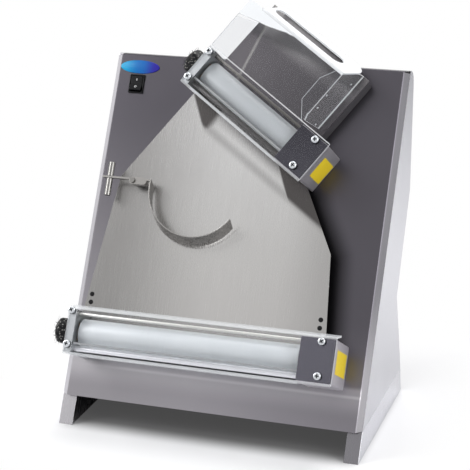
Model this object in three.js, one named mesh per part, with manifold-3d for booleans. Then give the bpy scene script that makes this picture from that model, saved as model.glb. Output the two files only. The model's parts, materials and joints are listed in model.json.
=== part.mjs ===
// Benchtop pizza dough roller machine: a slanted stainless body with two pairs of rollers.
// Millimetres, +Z up, front towards -Y, origin at the middle of the footprint on the floor.
// The slanted front has its own frame: x across, y up the slant, z straight out of the panel.
// Each roller unit lies in that frame: x along the rollers, y across them, z out of the panel.
import * as THREE from 'three';
import { mergeVertices } from 'three/addons/utils/BufferGeometryUtils.js';
import Module from 'manifold-3d';

const wasm = await Module();
wasm.setup();

const degree = Math.PI / 180;

// Fits and shared sheet sizes
const gap = 0.3;
const overrun = 5;
const sheetThickness = 2;
const clearSheetThickness = 3;
const runningClearance = 0.3;

// Body
const bodyWidth = 500;
const leanAngle = 28.22 * degree;
const slantLength = 628.7;
const footHeight = 45;
const footWidth = 24;
const chamferWidth = 10;
const chamferDepth = 7.7;
const topDepth = 35.714;
const backCornerRadius = 26;
const backCornerSteps = 6;
const kneeDrop = 204;
const waistInset = 77;
const waistHeight = 190;
const heelInset = 28.5;
const footRearReach = 8.5;
const ventCount = 6;
const ventLength = 90;
const ventHeight = 6;
const ventPitch = 18;
const ventRise = 120;

// Slide plate and its two rails
const plateFace = 30;
const plateThickness = 2;
const plateLeftInset = 26;
const plateShoulderInset = 28;
const plateShoulderDrop = 109.7;
const plateRightInset = 68.5;
const plateHipInset = 11;
const plateHipDrop = 204.7;
const plateNipClearance = 14;
const railWidth = 20;
const leftRailInset = 29;
const leftRailDrop = 34;
const rightRailInset = 41.5;
const rightRailRise = 1;
const railBottom = 205;
const plateHoleRadius = 2.5;
const plateHolePitch = 13;
const plateHoleInset = 11;
const plateHoleHeight = 202.5;

// Rocker switch
const switchInset = 43;
const switchDrop = 50.2;
const switchWidth = 26;
const switchLength = 32;
const switchRim = 2.5;
const switchRimWidth = 2.2;
const switchDepth = 20;
const rockerClearance = 0.6;
const rockerRise = 5.2;
const rockerDip = 2.6;
const rockerDepth = 6;
const rockerTilt = 9 * degree;

// Cable gland on the lower back
const glandInset = 100;
const glandHeight = 107;
const glandFlangeRadius = 13;
const glandFlangeLength = 5;
const glandNutRadius = 10;
const glandLength = 18;
const glandBoreRadius = 4;

// Swinging dough turner
const turnerInset = 86.2;
const turnerDrop = 121.3;
const turnerFace = 60;
const turnerBlade = 22;
const turnerBladeLean = 0.5;
const bladeRadius = 77.5;
const bladeCentreX = 107.4;
const bladeCentreY = -5.4;
const bladeStart = 172 * degree;
const bladeSweep = 155 * degree;
const bladeThickness = 1.5;
const bladeSteps = 20;
const armTail = 52;
const armHead = 29.5;
const armDepth = 8;
const armRise = 1;
const armThickness = 3;
const hubRadius = 6;
const hubPitch = 18;
const hubDepth = 12;
const pivotRadius = 3;
const pivotHeadRadius = 4.5;
const pivotHeadLength = 3;
const weightRadius = 5;
const weightLength = 55;
const weightOffset = 41;

// Roller units
const lowerSideRoom = 64.5;
const lowerCentreX = -5;
const lowerCentreY = 148.7;
const upperLengthShare = 0.6;
const upperCentreX = 31.1;
const upperCentreDrop = 105;
const upperTilt = 34.2 * degree;
const unitDepth = 90;
const frameTop = 33.4;
const frameBottom = 36;
const tongueHalfHeight = 28;
const windowHalfHeight = 28.4;
const bracketThickness = 12;
const bracketTongueDepth = 22;
const driveWidth = 56;
const drivePlateThickness = 6;
const drivePlateTongueDepth = 76;
const coverInset = 2;
const rollerRadius = 22.3;
const rollerNip = 2;
const frontAxisInset = 36;
const rollerEndGap = 3;
const rollerSides = 40;
const shaftRadius = 6;
const shaftSides = 16;
const bearingRadius = 10;
const bearingSides = 20;
const blockWidth = 28;
const blockDepth = 24;
const blockThickness = 7.5;
const blockCloseTravel = 1;
const blockOpenTravel = 3;

// Gears: equal pair on the rollers, a smaller pinion on the motor
const rollerTeeth = 14;
const pinionTeeth = 10;
const gearWidth = 14;
const gearPlateGap = 3;
const toothAddendum = 2.4;
const toothDedendum = 3.8;
const toothRootShare = 0.3;
const toothTipShare = 0.13;

// Gearmotors
const motorShaftRadius = 5;
const gearboxSize = 56;
const gearboxLength = 34;
const gearboxOffset = 13;
const gearboxPlateGap = 0.3;
const motorRadius = 28;
const motorSides = 24;
const upperMotorLength = 76;
const lowerMotorLength = 110;

// Thickness knob
const knobRadius = 21;
const knobLobeDepth = 1.6;
const knobLobes = 8;
const knobLobeSteps = 5;
const knobReach = 27.25;
const knobGap = 2;
const knobRounding = 5;
const spindleRadius = 5;

// Guards, bars and scrapers of a unit
const guardTop = 36.7;
const guardBottom = 39.3;
const guardBottomReturn = 20;
const guardTopReturn = 27;
const guardTopRise = 6;
const tieBarRadius = 4.5;
const tieBarInset = 19;
const tieBarDrop = 27;
const fingerBarRadius = 2.5;
const fingerBarInset = 18;
const fingerBarRise = 28;
const scraperThickness = 3;
const scraperWidth = 7;
const scraperDrop = 20;
const scraperInset = 6;
const barSides = 16;

// Feed chute and its clear guard, in the upper unit's frame
const chuteRightInset = 39.65;
const chuteTop = 156;
const chuteNeckHeight = 37;
const chuteNipHeight = 14;
const chuteBracketLeft = 20;
const chuteBracketBottom = 45;
const chuteBracketTop = 100;
const feedRightInset = 3.65;
const feedTop = 133.5;
const feedLeftTop = 98;
const feedLeftRearTop = 116;
const leftFlare = 10.8 * degree;
const rightFlare = 8.6 * degree;
const hoodTilt = 27.2 * degree;
const hoodLeftInset = 28.35;
const hoodDepth = 68;
const hoodCornerRadius = 26;
const slotLeftInset = 12;
const slotRightInset = 23;
const slotFront = 20;
const slotRear = 48;
const tabWidth = 26;
const tabTaper = 31;
const arcSteps = 6;

// Places that follow from the sizes above
const halfWidth = bodyWidth / 2;
const sinLean = Math.sin(leanAngle);
const cosLean = Math.cos(leanAngle);
const topHeight = slantLength * cosLean;
const bodyInside = halfWidth - sheetThickness;
const backDepth = slantLength * sinLean + topDepth;
const backKneeHeight = topHeight - kneeDrop;
const waistDepth = backDepth - waistInset;
const heelDepth = backDepth - heelInset;
const footRearDepth = heelDepth + footRearReach;
const switchOffset = halfWidth - switchInset;
const glandOffset = halfWidth - glandInset;
const switchHeight = slantLength - switchDrop;
const upperCentreY = slantLength - upperCentreDrop;
const turnerPivotX = halfWidth - turnerInset;
const turnerPivotY = upperCentreY - turnerDrop;
const plateLeftFoot = halfWidth - plateLeftInset;
const plateLeftShoulder = plateLeftFoot - plateShoulderInset;
const plateRightFoot = halfWidth - plateRightInset;
const plateRightHip = plateRightFoot - plateHipInset;
const plateShoulderHeight = upperCentreY - plateShoulderDrop;
const plateHipHeight = upperCentreY - plateHipDrop;
const leftRailTop = plateShoulderHeight - leftRailDrop;
const rightRailTop = plateHipHeight + rightRailRise;
const lowerLength = bodyWidth - lowerSideRoom;
const upperLength = lowerLength * upperLengthShare;
const chuteLeft = upperLength / 2 - bracketThickness - gap;
const chuteRight = upperLength / 2 - chuteRightInset;
const chuteNeckRight = upperLength / 2 - driveWidth - gap;
const feedLeft = upperLength / 2 - gap;
const feedRight = upperLength / 2 - driveWidth - feedRightInset;
const hoodLeft = feedLeft - hoodLeftInset;
const frontAxisDepth = unitDepth - frontAxisInset;
const tieBarDepth = unitDepth - tieBarInset;
const fingerBarDepth = unitDepth - fingerBarInset;
const scraperFace = unitDepth - scraperInset;
const rearAxisDepth = frontAxisDepth - 2 * rollerRadius - rollerNip;
const gearPitchRadius = rollerRadius + rollerNip / 2;
const pinionPitchRadius = gearPitchRadius * pinionTeeth / rollerTeeth;
const pinionAxisDepth = rearAxisDepth - gearPitchRadius - pinionPitchRadius;
const coverBack = unitDepth - clearSheetThickness - gap - sheetThickness;
const bracketFront = unitDepth - clearSheetThickness - gap;

const stainless = new THREE.MeshStandardMaterial({ color: 0x8c8a90, roughness: 0.32, metalness: 1 });
const lightStainless = new THREE.MeshStandardMaterial({ color: 0xb5b5b3, roughness: 0.4, metalness: 1 });
const darkStainless = new THREE.MeshStandardMaterial({ color: 0x5a585f, roughness: 0.25, metalness: 1 });
const aluminium = new THREE.MeshStandardMaterial({ color: 0xc5c9cc, roughness: 0.45, metalness: 1 });
const polishedSteel = new THREE.MeshStandardMaterial({ color: 0xd0d0d2, roughness: 0.15, metalness: 1 });
const whitePlastic = new THREE.MeshStandardMaterial({ color: 0xd5dadd, roughness: 0.45, metalness: 0 });
const bronze = new THREE.MeshStandardMaterial({ color: 0xb08a4a, roughness: 0.4, metalness: 1 });
const castMetal = new THREE.MeshStandardMaterial({ color: 0x70747a, roughness: 0.6, metalness: 0.6 });
const blackPlastic = new THREE.MeshStandardMaterial({ color: 0x161617, roughness: 0.25, metalness: 0 });
const clearPlastic = new THREE.MeshStandardMaterial({
  color: 0xe6ecee, roughness: 0.08, metalness: 0, transparent: true, opacity: 0.25,
});

// A closed solid of a geometry, for cutting and joining
function toSolid(geometry) {
  const bare = geometry.clone();
  bare.deleteAttribute('normal');
  bare.deleteAttribute('uv');
  const merged = mergeVertices(bare);
  return new wasm.Manifold(new wasm.Mesh({
    numProp: 3,
    vertProperties: new Float32Array(merged.attributes.position.array),
    triVerts: new Uint32Array(merged.index.array),
  }));
}

function toGeometry(solid) {
  const { vertProperties, triVerts } = solid.getMesh();
  const geometry = new THREE.BufferGeometry();
  geometry.setAttribute('position', new THREE.BufferAttribute(new Float32Array(vertProperties), 3));
  geometry.setIndex(new THREE.BufferAttribute(new Uint32Array(triVerts), 1));
  geometry.computeVertexNormals();
  return geometry;
}

function joined(...geometries) {
  return toGeometry(geometries.map(toSolid).reduce((whole, piece) => whole.add(piece)));
}

function cut(geometry, ...tools) {
  return toGeometry(tools.map(toSolid).reduce((whole, tool) => whole.subtract(tool), toSolid(geometry)));
}

// A box between two opposite corners
function block(low, high) {
  const size = high.map((value, axis) => value - low[axis]);
  const middle = high.map((value, axis) => (value + low[axis]) / 2);
  return new THREE.BoxGeometry(...size).translate(...middle);
}

// A flat outline in x and y, raised along z
function raised(outline, from, to) {
  const shape = Array.isArray(outline) ? new THREE.Shape(outline.map(([x, y]) => new THREE.Vector2(x, y)))
    : outline;
  const geometry = new THREE.ExtrudeGeometry(shape, { depth: to - from, bevelEnabled: false });
  return geometry.translate(0, 0, from);
}

// An outline in y and z, carried along x
function carried(outline, from, to) {
  const turn = new THREE.Matrix4().makeBasis(
    new THREE.Vector3(0, 1, 0), new THREE.Vector3(0, 0, 1), new THREE.Vector3(1, 0, 0));
  return raised(outline, from, to).applyMatrix4(turn);
}

// An outline in x and z, carried along y
function climbing(outline, from, to) {
  const turn = new THREE.Matrix4().makeBasis(
    new THREE.Vector3(1, 0, 0), new THREE.Vector3(0, 0, 1), new THREE.Vector3(0, -1, 0));
  return raised(outline, -to, -from).applyMatrix4(turn);
}

// A round bar along x, at y and z
function bar(radius, from, to, y, z, sides) {
  const geometry = new THREE.CylinderGeometry(radius, radius, to - from, sides);
  return geometry.rotateZ(-Math.PI / 2).translate((from + to) / 2, y, z);
}

// A round post along z, at x and y
function post(radius, from, to, x, y, sides) {
  const geometry = new THREE.CylinderGeometry(radius, radius, to - from, sides);
  return geometry.rotateX(Math.PI / 2).translate(x, y, (from + to) / 2);
}

// The section of a bent sheet: an open line, thickened to its left with mitred bends
function sheetSection(line, thickness) {
  const points = line.map(([x, y]) => new THREE.Vector2(x, y));
  const normals = points.slice(1).map((point, index) => {
    const along = point.clone().sub(points[index]).normalize();
    return new THREE.Vector2(-along.y, along.x);
  });
  const inner = points.map((point, index) => {
    const before = normals[Math.max(index - 1, 0)];
    const after = normals[Math.min(index, normals.length - 1)];
    const mitre = before.clone().add(after).multiplyScalar(thickness / (1 + before.dot(after)));
    return point.clone().add(mitre);
  });
  return [...points, ...inner.reverse()].map((point) => [point.x, point.y]);
}

// Points of an arc about a centre, ends included
function arc(x, y, radius, start, sweep, steps) {
  return Array.from({ length: steps + 1 }, (_, index) => {
    const angle = start + sweep * index / steps;
    return [x + radius * Math.cos(angle), y + radius * Math.sin(angle)];
  });
}

function piece(name, geometry, material, place = [0, 0, 0]) {
  const mesh = new THREE.Mesh(geometry, material);
  mesh.name = name;
  mesh.position.set(...place);
  return mesh;
}

// Depth, from front to back, of the slanted plane that lies a given way behind the panel
function slantDepth(height, behind) {
  return (height * sinLean + behind) / cosLean;
}

// A place in the upper unit's frame, given in the panel's
function onPanel(x, y) {
  const place = new THREE.Vector2(x, y).rotateAround(new THREE.Vector2(), -upperTilt);
  return [upperCentreX + place.x, upperCentreY + place.y];
}

// The back's outline, from the top down to the heel, in depth and height
function backLine(start, end) {
  const corner = backDepth - backCornerRadius;
  return [
    [start, topHeight],
    ...arc(corner, topHeight - backCornerRadius, backCornerRadius, Math.PI / 2, -Math.PI / 2,
      backCornerSteps),
    [backDepth, backKneeHeight],
    [waistDepth, waistHeight],
    [heelDepth, end],
  ];
}

// The opening in the front panel behind a unit
function unitWindow(length) {
  return block([-length / 2 - gap, -windowHalfHeight, -overrun - sheetThickness],
    [length / 2 - 2 * sheetThickness, windowHalfHeight, overrun]);
}

function slanted(geometry) {
  return geometry.rotateX(Math.PI / 2 - leanAngle);
}

function placedUpper(geometry) {
  return geometry.rotateZ(-upperTilt).translate(upperCentreX, upperCentreY, 0);
}

// Front, chamfered edges and both sides: one bent and welded sheet
function bodyShell() {
  const front = sheetSection([
    [halfWidth, -chamferDepth],
    [halfWidth - chamferWidth, 0],
    [chamferWidth - halfWidth, 0],
    [-halfWidth, -chamferDepth],
  ], sheetThickness);
  const sheet = slanted(cut(climbing(front, footHeight / cosLean, slantLength),
    unitWindow(lowerLength).translate(lowerCentreX, lowerCentreY, 0),
    placedUpper(unitWindow(upperLength)),
    switchCutout()));
  const bottom = footHeight + gap;
  const side = [
    [slantDepth(bottom, chamferDepth), bottom],
    ...backLine(slantDepth(topHeight, chamferDepth), bottom),
  ];
  const whole = joined(sheet, carried(side, bodyInside, halfWidth), carried(side, -halfWidth, -bodyInside));
  return cut(whole, belowBody());
}

// The room below the body's lower edge
function belowBody() {
  return block([-bodyWidth, -overrun, -overrun], [bodyWidth, backDepth + overrun, footHeight + gap]);
}

function switchCutout() {
  const x = switchWidth / 2 - switchRimWidth / 2;
  const y = switchLength / 2 - switchRimWidth / 2;
  return block([-x, -y, -overrun - sheetThickness], [x, y, overrun])
    .translate(-switchOffset, switchHeight, 0);
}

// Curved top, back with louvres cut through and lower flare: one bent sheet
function rearCover() {
  const start = slantDepth(topHeight - sheetThickness, sheetThickness / sinLean) + gap;
  const cover = carried(sheetSection(backLine(start, footHeight).reverse(), sheetThickness),
    gap - bodyInside, bodyInside - gap);
  const vents = Array.from({ length: ventCount }, (_, index) => {
    const top = backKneeHeight + ventRise - index * ventPitch;
    return block([-ventLength / 2, backDepth - overrun, top - ventHeight],
      [ventLength / 2, backDepth + overrun, top]);
  });
  const glandHole = glandPlace(post(glandNutRadius, -overrun, overrun, 0, 0, barSides));
  return cut(cover, belowBody(), ...vents, glandHole);
}

function basePan() {
  const bottom = footHeight + gap;
  const top = bottom + sheetThickness;
  const heelSlope = (heelDepth - waistDepth) / (waistHeight - footHeight);
  const side = halfWidth - chamferWidth - sheetThickness / 2;
  return block([-side, slantDepth(top, sheetThickness) + gap, bottom],
    [side, heelDepth - heelSlope * (top - footHeight) - sheetThickness - 2 * gap, top]);
}

// A foot: a box section the whole depth of the body, open at the back
function footRail(side) {
  const outer = [
    [slantDepth(0, chamferDepth), 0],
    [footRearDepth, 0],
    [heelDepth, footHeight],
    [slantDepth(footHeight, chamferDepth), footHeight],
  ];
  const inside = chamferDepth + sheetThickness;
  const inner = [
    [slantDepth(sheetThickness, inside), sheetThickness],
    [footRearDepth + overrun, sheetThickness],
    [footRearDepth + overrun, footHeight - sheetThickness],
    [slantDepth(footHeight - sheetThickness, inside), footHeight - sheetThickness],
  ];
  const low = side < 0 ? -halfWidth : halfWidth - footWidth;
  return cut(carried(outer, low, low + footWidth),
    carried(inner, low + sheetThickness, low + footWidth - sheetThickness));
}

// The polished plate that the dough slides down, from the upper nip to the lower one
function slidePlate() {
  const lowerTop = lowerCentreY + guardTop + gap;
  const lowerNip = lowerCentreY + plateNipClearance;
  const lowerLeft = lowerCentreX - lowerLength / 2 + bracketThickness + gap;
  const lowerRight = lowerCentreX + lowerLength / 2 - driveWidth - gap;
  const upperLeft = bracketThickness + gap - upperLength / 2;
  const upperRight = upperLength / 2 - driveWidth - gap;
  const underUpper = -frameBottom - gap;
  const outline = [
    [-plateLeftFoot, lowerTop],
    [lowerLeft, lowerTop],
    [lowerLeft, lowerNip],
    [lowerRight, lowerNip],
    [lowerRight, lowerTop],
    [plateRightFoot, lowerTop],
    [plateRightHip, plateHipHeight],
    onPanel(upperLength / 2, underUpper),
    onPanel(upperRight, underUpper),
    onPanel(upperRight, -plateNipClearance),
    onPanel(upperLeft, -plateNipClearance),
    onPanel(upperLeft, underUpper),
    onPanel(upperLeft - bracketThickness / 2, underUpper),
    [-plateLeftShoulder, plateShoulderHeight],
  ];
  const holes = [-plateLeftFoot + plateHoleInset, plateRightFoot - plateHoleInset].flatMap((x) => [0, 1].map(
    (row) => post(plateHoleRadius, plateFace - overrun, plateFace + overrun, x,
      plateHoleHeight + row * plateHolePitch, arcSteps + 2)));
  return cut(raised(outline, plateFace - plateThickness, plateFace), ...holes);
}

// A channel between the panel and a plate, open towards the panel
function channel(x, width, from, to) {
  const line = [[x + width, gap], [x + width, plateFace - plateThickness - gap],
    [x, plateFace - plateThickness - gap], [x, gap]];
  return climbing(sheetSection(line, sheetThickness), from, to);
}

function switchHousing() {
  const rim = block([-switchWidth / 2, -switchLength / 2, gap],
    [switchWidth / 2, switchLength / 2, switchRim]);
  const bodyX = switchWidth / 2 - switchRimWidth;
  const bodyY = switchLength / 2 - switchRimWidth;
  const wall = switchRimWidth / 2 - gap;
  const can = block([-bodyX - wall, -bodyY - wall, -switchDepth],
    [bodyX + wall, bodyY + wall, switchRim / 2]);
  const mouth = block([-bodyX, -bodyY, wall - switchDepth], [bodyX, bodyY, switchRim + overrun]);
  return cut(joined(rim, can), mouth);
}

function switchRocker() {
  const x = switchWidth / 2 - switchRimWidth - rockerClearance;
  const y = switchLength / 2 - switchRimWidth - 2 * rockerClearance;
  const side = [[-y, rockerRise], [-y, -rockerDepth], [y, -rockerDepth], [y, rockerRise], [0, rockerDip]];
  return carried(side.map(([a, b]) => [a, b]), -x, x).rotateX(-rockerTilt);
}

// Turns a part modelled along z so that it stands on the flared lower back
function glandPlace(geometry) {
  const slope = Math.atan2(heelDepth - waistDepth, waistHeight - footHeight);
  const depth = heelDepth - (glandHeight - footHeight) * Math.tan(slope);
  return geometry.rotateX(-Math.PI / 2 + slope).translate(-glandOffset, depth, glandHeight);
}

function cableGland() {
  const neck = post(glandNutRadius - gap, -sheetThickness, gap * 2, 0, 0, barSides);
  const flange = post(glandFlangeRadius, gap, glandFlangeLength, 0, 0, barSides);
  const nut = post(glandNutRadius, gap, glandLength, 0, 0, arcSteps);
  const bore = post(glandBoreRadius, -overrun - sheetThickness, glandLength + overrun, 0, 0, arcSteps * 2);
  return glandPlace(cut(joined(neck, flange, nut), bore));
}

// The turner's parts, about its pivot
function turnerPivot() {
  const shank = post(pivotRadius, plateFace + gap, turnerFace + pivotHeadLength, 0, 0, barSides);
  const collar = post(pivotHeadRadius, plateFace + gap, turnerFace - hubDepth, 0, 0, barSides);
  const head = post(pivotHeadRadius, turnerFace + gap, turnerFace + pivotHeadLength + gap, 0, 0, barSides);
  return joined(shank, collar, head);
}

function turnerArm() {
  const strip = block([-armTail, armRise, turnerFace - armDepth],
    [armHead, armRise + armThickness, turnerFace]);
  const hubLine = [
    ...arc(0, 0, hubRadius, Math.PI / 2, Math.PI, arcSteps * 2),
    ...arc(hubPitch, 0, hubRadius, -Math.PI / 2, Math.PI, arcSteps * 2),
  ];
  const hub = raised(hubLine, turnerFace - hubDepth + gap, turnerFace);
  const bore = post(pivotRadius + runningClearance, 0, turnerFace + overrun, 0, 0, barSides);
  const slit = bladeStrip(2 * gap + bladeThickness, turnerFace + overrun, turnerFace - turnerBlade - overrun);
  return cut(joined(strip, hub), bore, slit);
}

// A curved strip that leans down the slant as it nears the plate
function bladeStrip(thickness, top, bottom) {
  const inner = bladeRadius - thickness / 2;
  const outline = [
    ...arc(bladeCentreX, bladeCentreY, inner + thickness, bladeStart, bladeSweep, bladeSteps),
    ...arc(bladeCentreX, bladeCentreY, inner, bladeStart + bladeSweep, -bladeSweep, bladeSteps),
  ];
  const lean = new THREE.Matrix4().makeShear(0, 0, 0, 0, 0, turnerBladeLean);
  return raised(outline, bottom - turnerFace, top - turnerFace).applyMatrix4(lean)
    .translate(0, 0, turnerFace);
}

// A round rod across the arm, slotted to take it
function turnerWeight() {
  const rod = bar(weightRadius, -weightLength / 2, weightLength / 2, 0, 0, barSides)
    .rotateZ(Math.PI / 2).translate(-weightOffset, 0, turnerFace - weightRadius);
  const slot = block([-armTail, armRise - gap, turnerFace - armDepth - gap],
    [armHead, armRise + armThickness + gap, turnerFace + overrun]);
  return cut(rod, slot);
}

// A spur gear about the x axis, with a tooth or a space at the top
function gear(teeth, pitchRadius, firstTooth, boreRadius) {
  const root = pitchRadius - toothDedendum;
  const tip = pitchRadius + toothAddendum;
  const pitch = 2 * Math.PI / teeth;
  const outline = Array.from({ length: teeth }, (_, index) => {
    const middle = Math.PI / 2 + (index + firstTooth) * pitch;
    return [[root, -toothRootShare], [tip, -toothTipShare], [tip, toothTipShare], [root, toothRootShare]]
      .map(([radius, share]) => [
        radius * Math.cos(middle + share * pitch), radius * Math.sin(middle + share * pitch)]);
  }).flat();
  const bore = bar(boreRadius + gap, -overrun, gearWidth + overrun, 0, 0, barSides);
  return cut(carried(outline, 0, gearWidth), bore);
}

function roller(length) {
  return cut(bar(rollerRadius, -length / 2, length / 2, 0, 0, rollerSides),
    bar(shaftRadius + gap, -length, length, 0, 0, shaftSides));
}

function shaft(from, to) {
  return bar(shaftRadius, from, to, 0, 0, shaftSides);
}

function bearing(length) {
  return cut(bar(bearingRadius, 0, length, 0, 0, bearingSides),
    bar(shaftRadius + runningClearance, -overrun, length + overrun, 0, 0, shaftSides));
}

function slidingBlock(thickness) {
  return cut(block([0, -blockWidth / 2, -blockDepth / 2], [thickness, blockWidth / 2, blockDepth / 2]),
    bar(shaftRadius + runningClearance, -overrun, thickness + overrun, 0, 0, shaftSides));
}

// The room that a sliding block needs, travel included
function blockRoom(from, to) {
  return block([from, -blockWidth / 2 - gap, frontAxisDepth - blockDepth / 2 - blockCloseTravel - gap],
    [to, blockWidth / 2 + gap, frontAxisDepth + blockDepth / 2 + blockOpenTravel + gap]);
}

function bearingRoom(from, to) {
  return bar(bearingRadius + gap, from, to, 0, rearAxisDepth, bearingSides);
}

function barHoles(from, to) {
  return [
    bar(tieBarRadius + gap, from, to, -tieBarDrop, tieBarDepth, barSides),
    bar(fingerBarRadius + gap, from, to, fingerBarRise, fingerBarDepth, barSides),
  ];
}

// Aluminium end bracket with a tongue through the panel
function leftBracket() {
  const outline = [
    [-frameBottom, gap], [-tongueHalfHeight, gap], [-tongueHalfHeight, -bracketTongueDepth],
    [tongueHalfHeight, -bracketTongueDepth], [tongueHalfHeight, gap], [frameTop, gap],
    [frameTop, bracketFront], [-frameBottom, bracketFront],
  ];
  const floor = bracketThickness - blockThickness - gap;
  return cut(carried(outline, 0, bracketThickness),
    blockRoom(floor, bracketThickness + overrun),
    bearingRoom(-overrun, bracketThickness + overrun),
    bar(spindleRadius + runningClearance, -overrun, bracketThickness, 0, frontAxisDepth, barSides),
    ...barHoles(floor, bracketThickness + overrun));
}

// Steel plate that carries the bearings, the block, the bars and the gearmotor
function drivePlate() {
  const edge = sheetThickness + gap;
  const outline = [
    [edge - frameBottom, gap], [-tongueHalfHeight, gap], [-tongueHalfHeight, -drivePlateTongueDepth],
    [tongueHalfHeight, -drivePlateTongueDepth], [tongueHalfHeight, gap], [frameTop - edge, gap],
    [frameTop - edge, coverBack - gap], [edge - frameBottom, coverBack - gap],
  ];
  return cut(carried(outline, 0, drivePlateThickness),
    blockRoom(-overrun, drivePlateThickness + overrun),
    bearingRoom(-overrun, drivePlateThickness + overrun),
    bar(motorShaftRadius + gap, -overrun, drivePlateThickness + overrun, 0, pinionAxisDepth, barSides),
    ...barHoles(-overrun, drivePlateThickness + overrun));
}

// Bent sheet round the top, end and underside of the gears
function driveHousing(left, right) {
  const line = [[left, -frameBottom], [right, -frameBottom], [right, frameTop], [left, frameTop]];
  return raised(sheetSection(line, sheetThickness), gap, coverBack - gap);
}

function coverPlate(left, right) {
  return block([left, coverInset - frameBottom, coverBack],
    [right - coverInset, frameTop - coverInset / 2, coverBack + sheetThickness]);
}

// Clear guard: a flat front, a lip under the rollers and, on the lower unit, a rising top flange
function rollerGuard(length, hasTopFlange) {
  const left = -length / 2;
  const right = length / 2;
  const front = block([left, -guardBottom, unitDepth - clearSheetThickness], [right, guardTop, unitDepth]);
  const lip = block([left + bracketThickness + gap, -guardBottom, unitDepth - guardBottomReturn],
    [right - driveWidth - gap, clearSheetThickness - guardBottom, unitDepth - clearSheetThickness / 2]);
  const section = sheetSection([
    [guardTop + guardTopRise, unitDepth - guardTopReturn],
    [guardTop, unitDepth],
  ], clearSheetThickness);
  return hasTopFlange ? joined(front, lip, carried(section, left, right)) : joined(front, lip);
}

function gearmotor(motorLength) {
  const half = gearboxSize / 2;
  const middle = pinionAxisDepth - gearboxOffset;
  const box = block([-gearboxLength, -half, middle - half], [0, half, middle + half]);
  const can = bar(motorRadius, -gearboxLength - motorLength, -gearboxLength / 2, 0, middle, motorSides);
  const output = bar(motorShaftRadius, -gearboxLength / 2,
    drivePlateThickness + gearPlateGap - gap, 0, pinionAxisDepth, barSides);
  return joined(box, can, output);
}

// The pinion that the gearmotor's output shaft carries
function motorPinion() {
  return gear(pinionTeeth, pinionPitchRadius, 1 / 2, motorShaftRadius);
}

function thicknessKnob() {
  const steps = knobLobes * knobLobeSteps;
  const outline = Array.from({ length: steps }, (_, index) => {
    const angle = 2 * Math.PI * index / steps;
    const radius = knobRadius - knobRounding - knobLobeDepth * (1 - Math.cos(knobLobes * angle)) / 2;
    return new THREE.Vector2(radius * Math.cos(angle), radius * Math.sin(angle));
  });
  const depth = knobReach - knobGap - 2 * knobRounding;
  const grip = new THREE.ExtrudeGeometry(new THREE.Shape(outline), {
    depth, bevelEnabled: true, bevelThickness: knobRounding, bevelSize: knobRounding, bevelSegments: 2,
  });
  grip.rotateY(-Math.PI / 2).translate(-knobGap - knobRounding, 0, 0);
  const end = bracketThickness - blockThickness - 2 * gap;
  return joined(grip, bar(spindleRadius, -knobGap - knobRounding, end, 0, 0, barSides));
}

// One complete pair of rollers with its frame, drive, guard and knob
function rollerUnit(prefix, length, motorLength, hasTopFlange) {
  const unit = new THREE.Group();
  const left = -length / 2;
  const right = length / 2;
  const innerLeft = left + bracketThickness;
  const plateX = right - driveWidth;
  const gearX = plateX + drivePlateThickness + gearPlateGap;
  const rollerLength = plateX - innerLeft - 2 * rollerEndGap;
  const rollerX = (plateX + innerLeft) / 2;
  const blockX = innerLeft - blockThickness;
  const plateBlock = drivePlateThickness - 2 * gap;
  const frontPlace = [0, 0, frontAxisDepth];
  const rearPlace = [0, 0, rearAxisDepth];
  const barFrom = innerLeft - blockThickness;
  const barTo = plateX + drivePlateThickness;
  const add = (name, geometry, material, x, place = [0, 0, 0]) => {
    unit.add(piece(`${prefix}_${name}`, geometry, material, [x + place[0], place[1], place[2]]));
  };
  add('left_bracket', leftBracket(), aluminium, left);
  add('drive_plate', drivePlate(), lightStainless, plateX);
  add('drive_housing', driveHousing(plateX, right), stainless, 0);
  add('cover_plate', coverPlate(plateX, right), darkStainless, 0);
  add('roller_guard', rollerGuard(length, hasTopFlange), clearPlastic, 0);
  add('tie_bar', bar(tieBarRadius, barFrom, barTo, -tieBarDrop, tieBarDepth, barSides), polishedSteel, 0);
  add('finger_bar', bar(fingerBarRadius, barFrom, barTo, fingerBarRise, fingerBarDepth, barSides),
    polishedSteel, 0);
  add('scraper', block([innerLeft + gap, -scraperDrop - scraperThickness / 2, scraperFace - scraperWidth],
    [plateX - gap, scraperThickness / 2 - scraperDrop, scraperFace]), lightStainless, 0);
  add('rear_bearing_left', bearing(bracketThickness), bronze, left, rearPlace);
  add('rear_bearing_right', bearing(drivePlateThickness), bronze, plateX, rearPlace);
  add('front_block_left', slidingBlock(blockThickness), bronze, blockX, frontPlace);
  add('front_block_right', slidingBlock(plateBlock), bronze, plateX + gap, frontPlace);
  add('front_roller', roller(rollerLength), whitePlastic, rollerX, frontPlace);
  add('front_shaft', shaft(blockX + gap, gearX + gearWidth + gearPlateGap), polishedSteel, 0, frontPlace);
  add('front_gear', gear(rollerTeeth, gearPitchRadius, 1 / 2, shaftRadius), castMetal, gearX, frontPlace);
  add('rear_roller', roller(rollerLength), whitePlastic, rollerX, rearPlace);
  add('rear_shaft', shaft(left, gearX + gearWidth + gearPlateGap), polishedSteel, 0, rearPlace);
  add('rear_gear', gear(rollerTeeth, gearPitchRadius, 0, shaftRadius), castMetal, gearX, rearPlace);
  add('gearmotor', gearmotor(motorLength), castMetal, plateX - gearboxPlateGap);
  add('motor_pinion', motorPinion(), castMetal, gearX, [0, 0, pinionAxisDepth]);
  add('thickness_knob', thicknessKnob(), blackPlastic, left, frontPlace);
  return unit;
}

// Stainless tray that leads the dough ball into the upper nip
function feedChute() {
  const left = chuteLeft;
  const outline = [
    [-left, chuteNipHeight], [chuteNeckRight, chuteNipHeight], [chuteNeckRight, chuteNeckHeight],
    [chuteRight, chuteNeckHeight], [chuteRight, chuteTop], [-left, chuteTop],
  ];
  return raised(outline, plateFace - plateThickness, plateFace);
}

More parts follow.
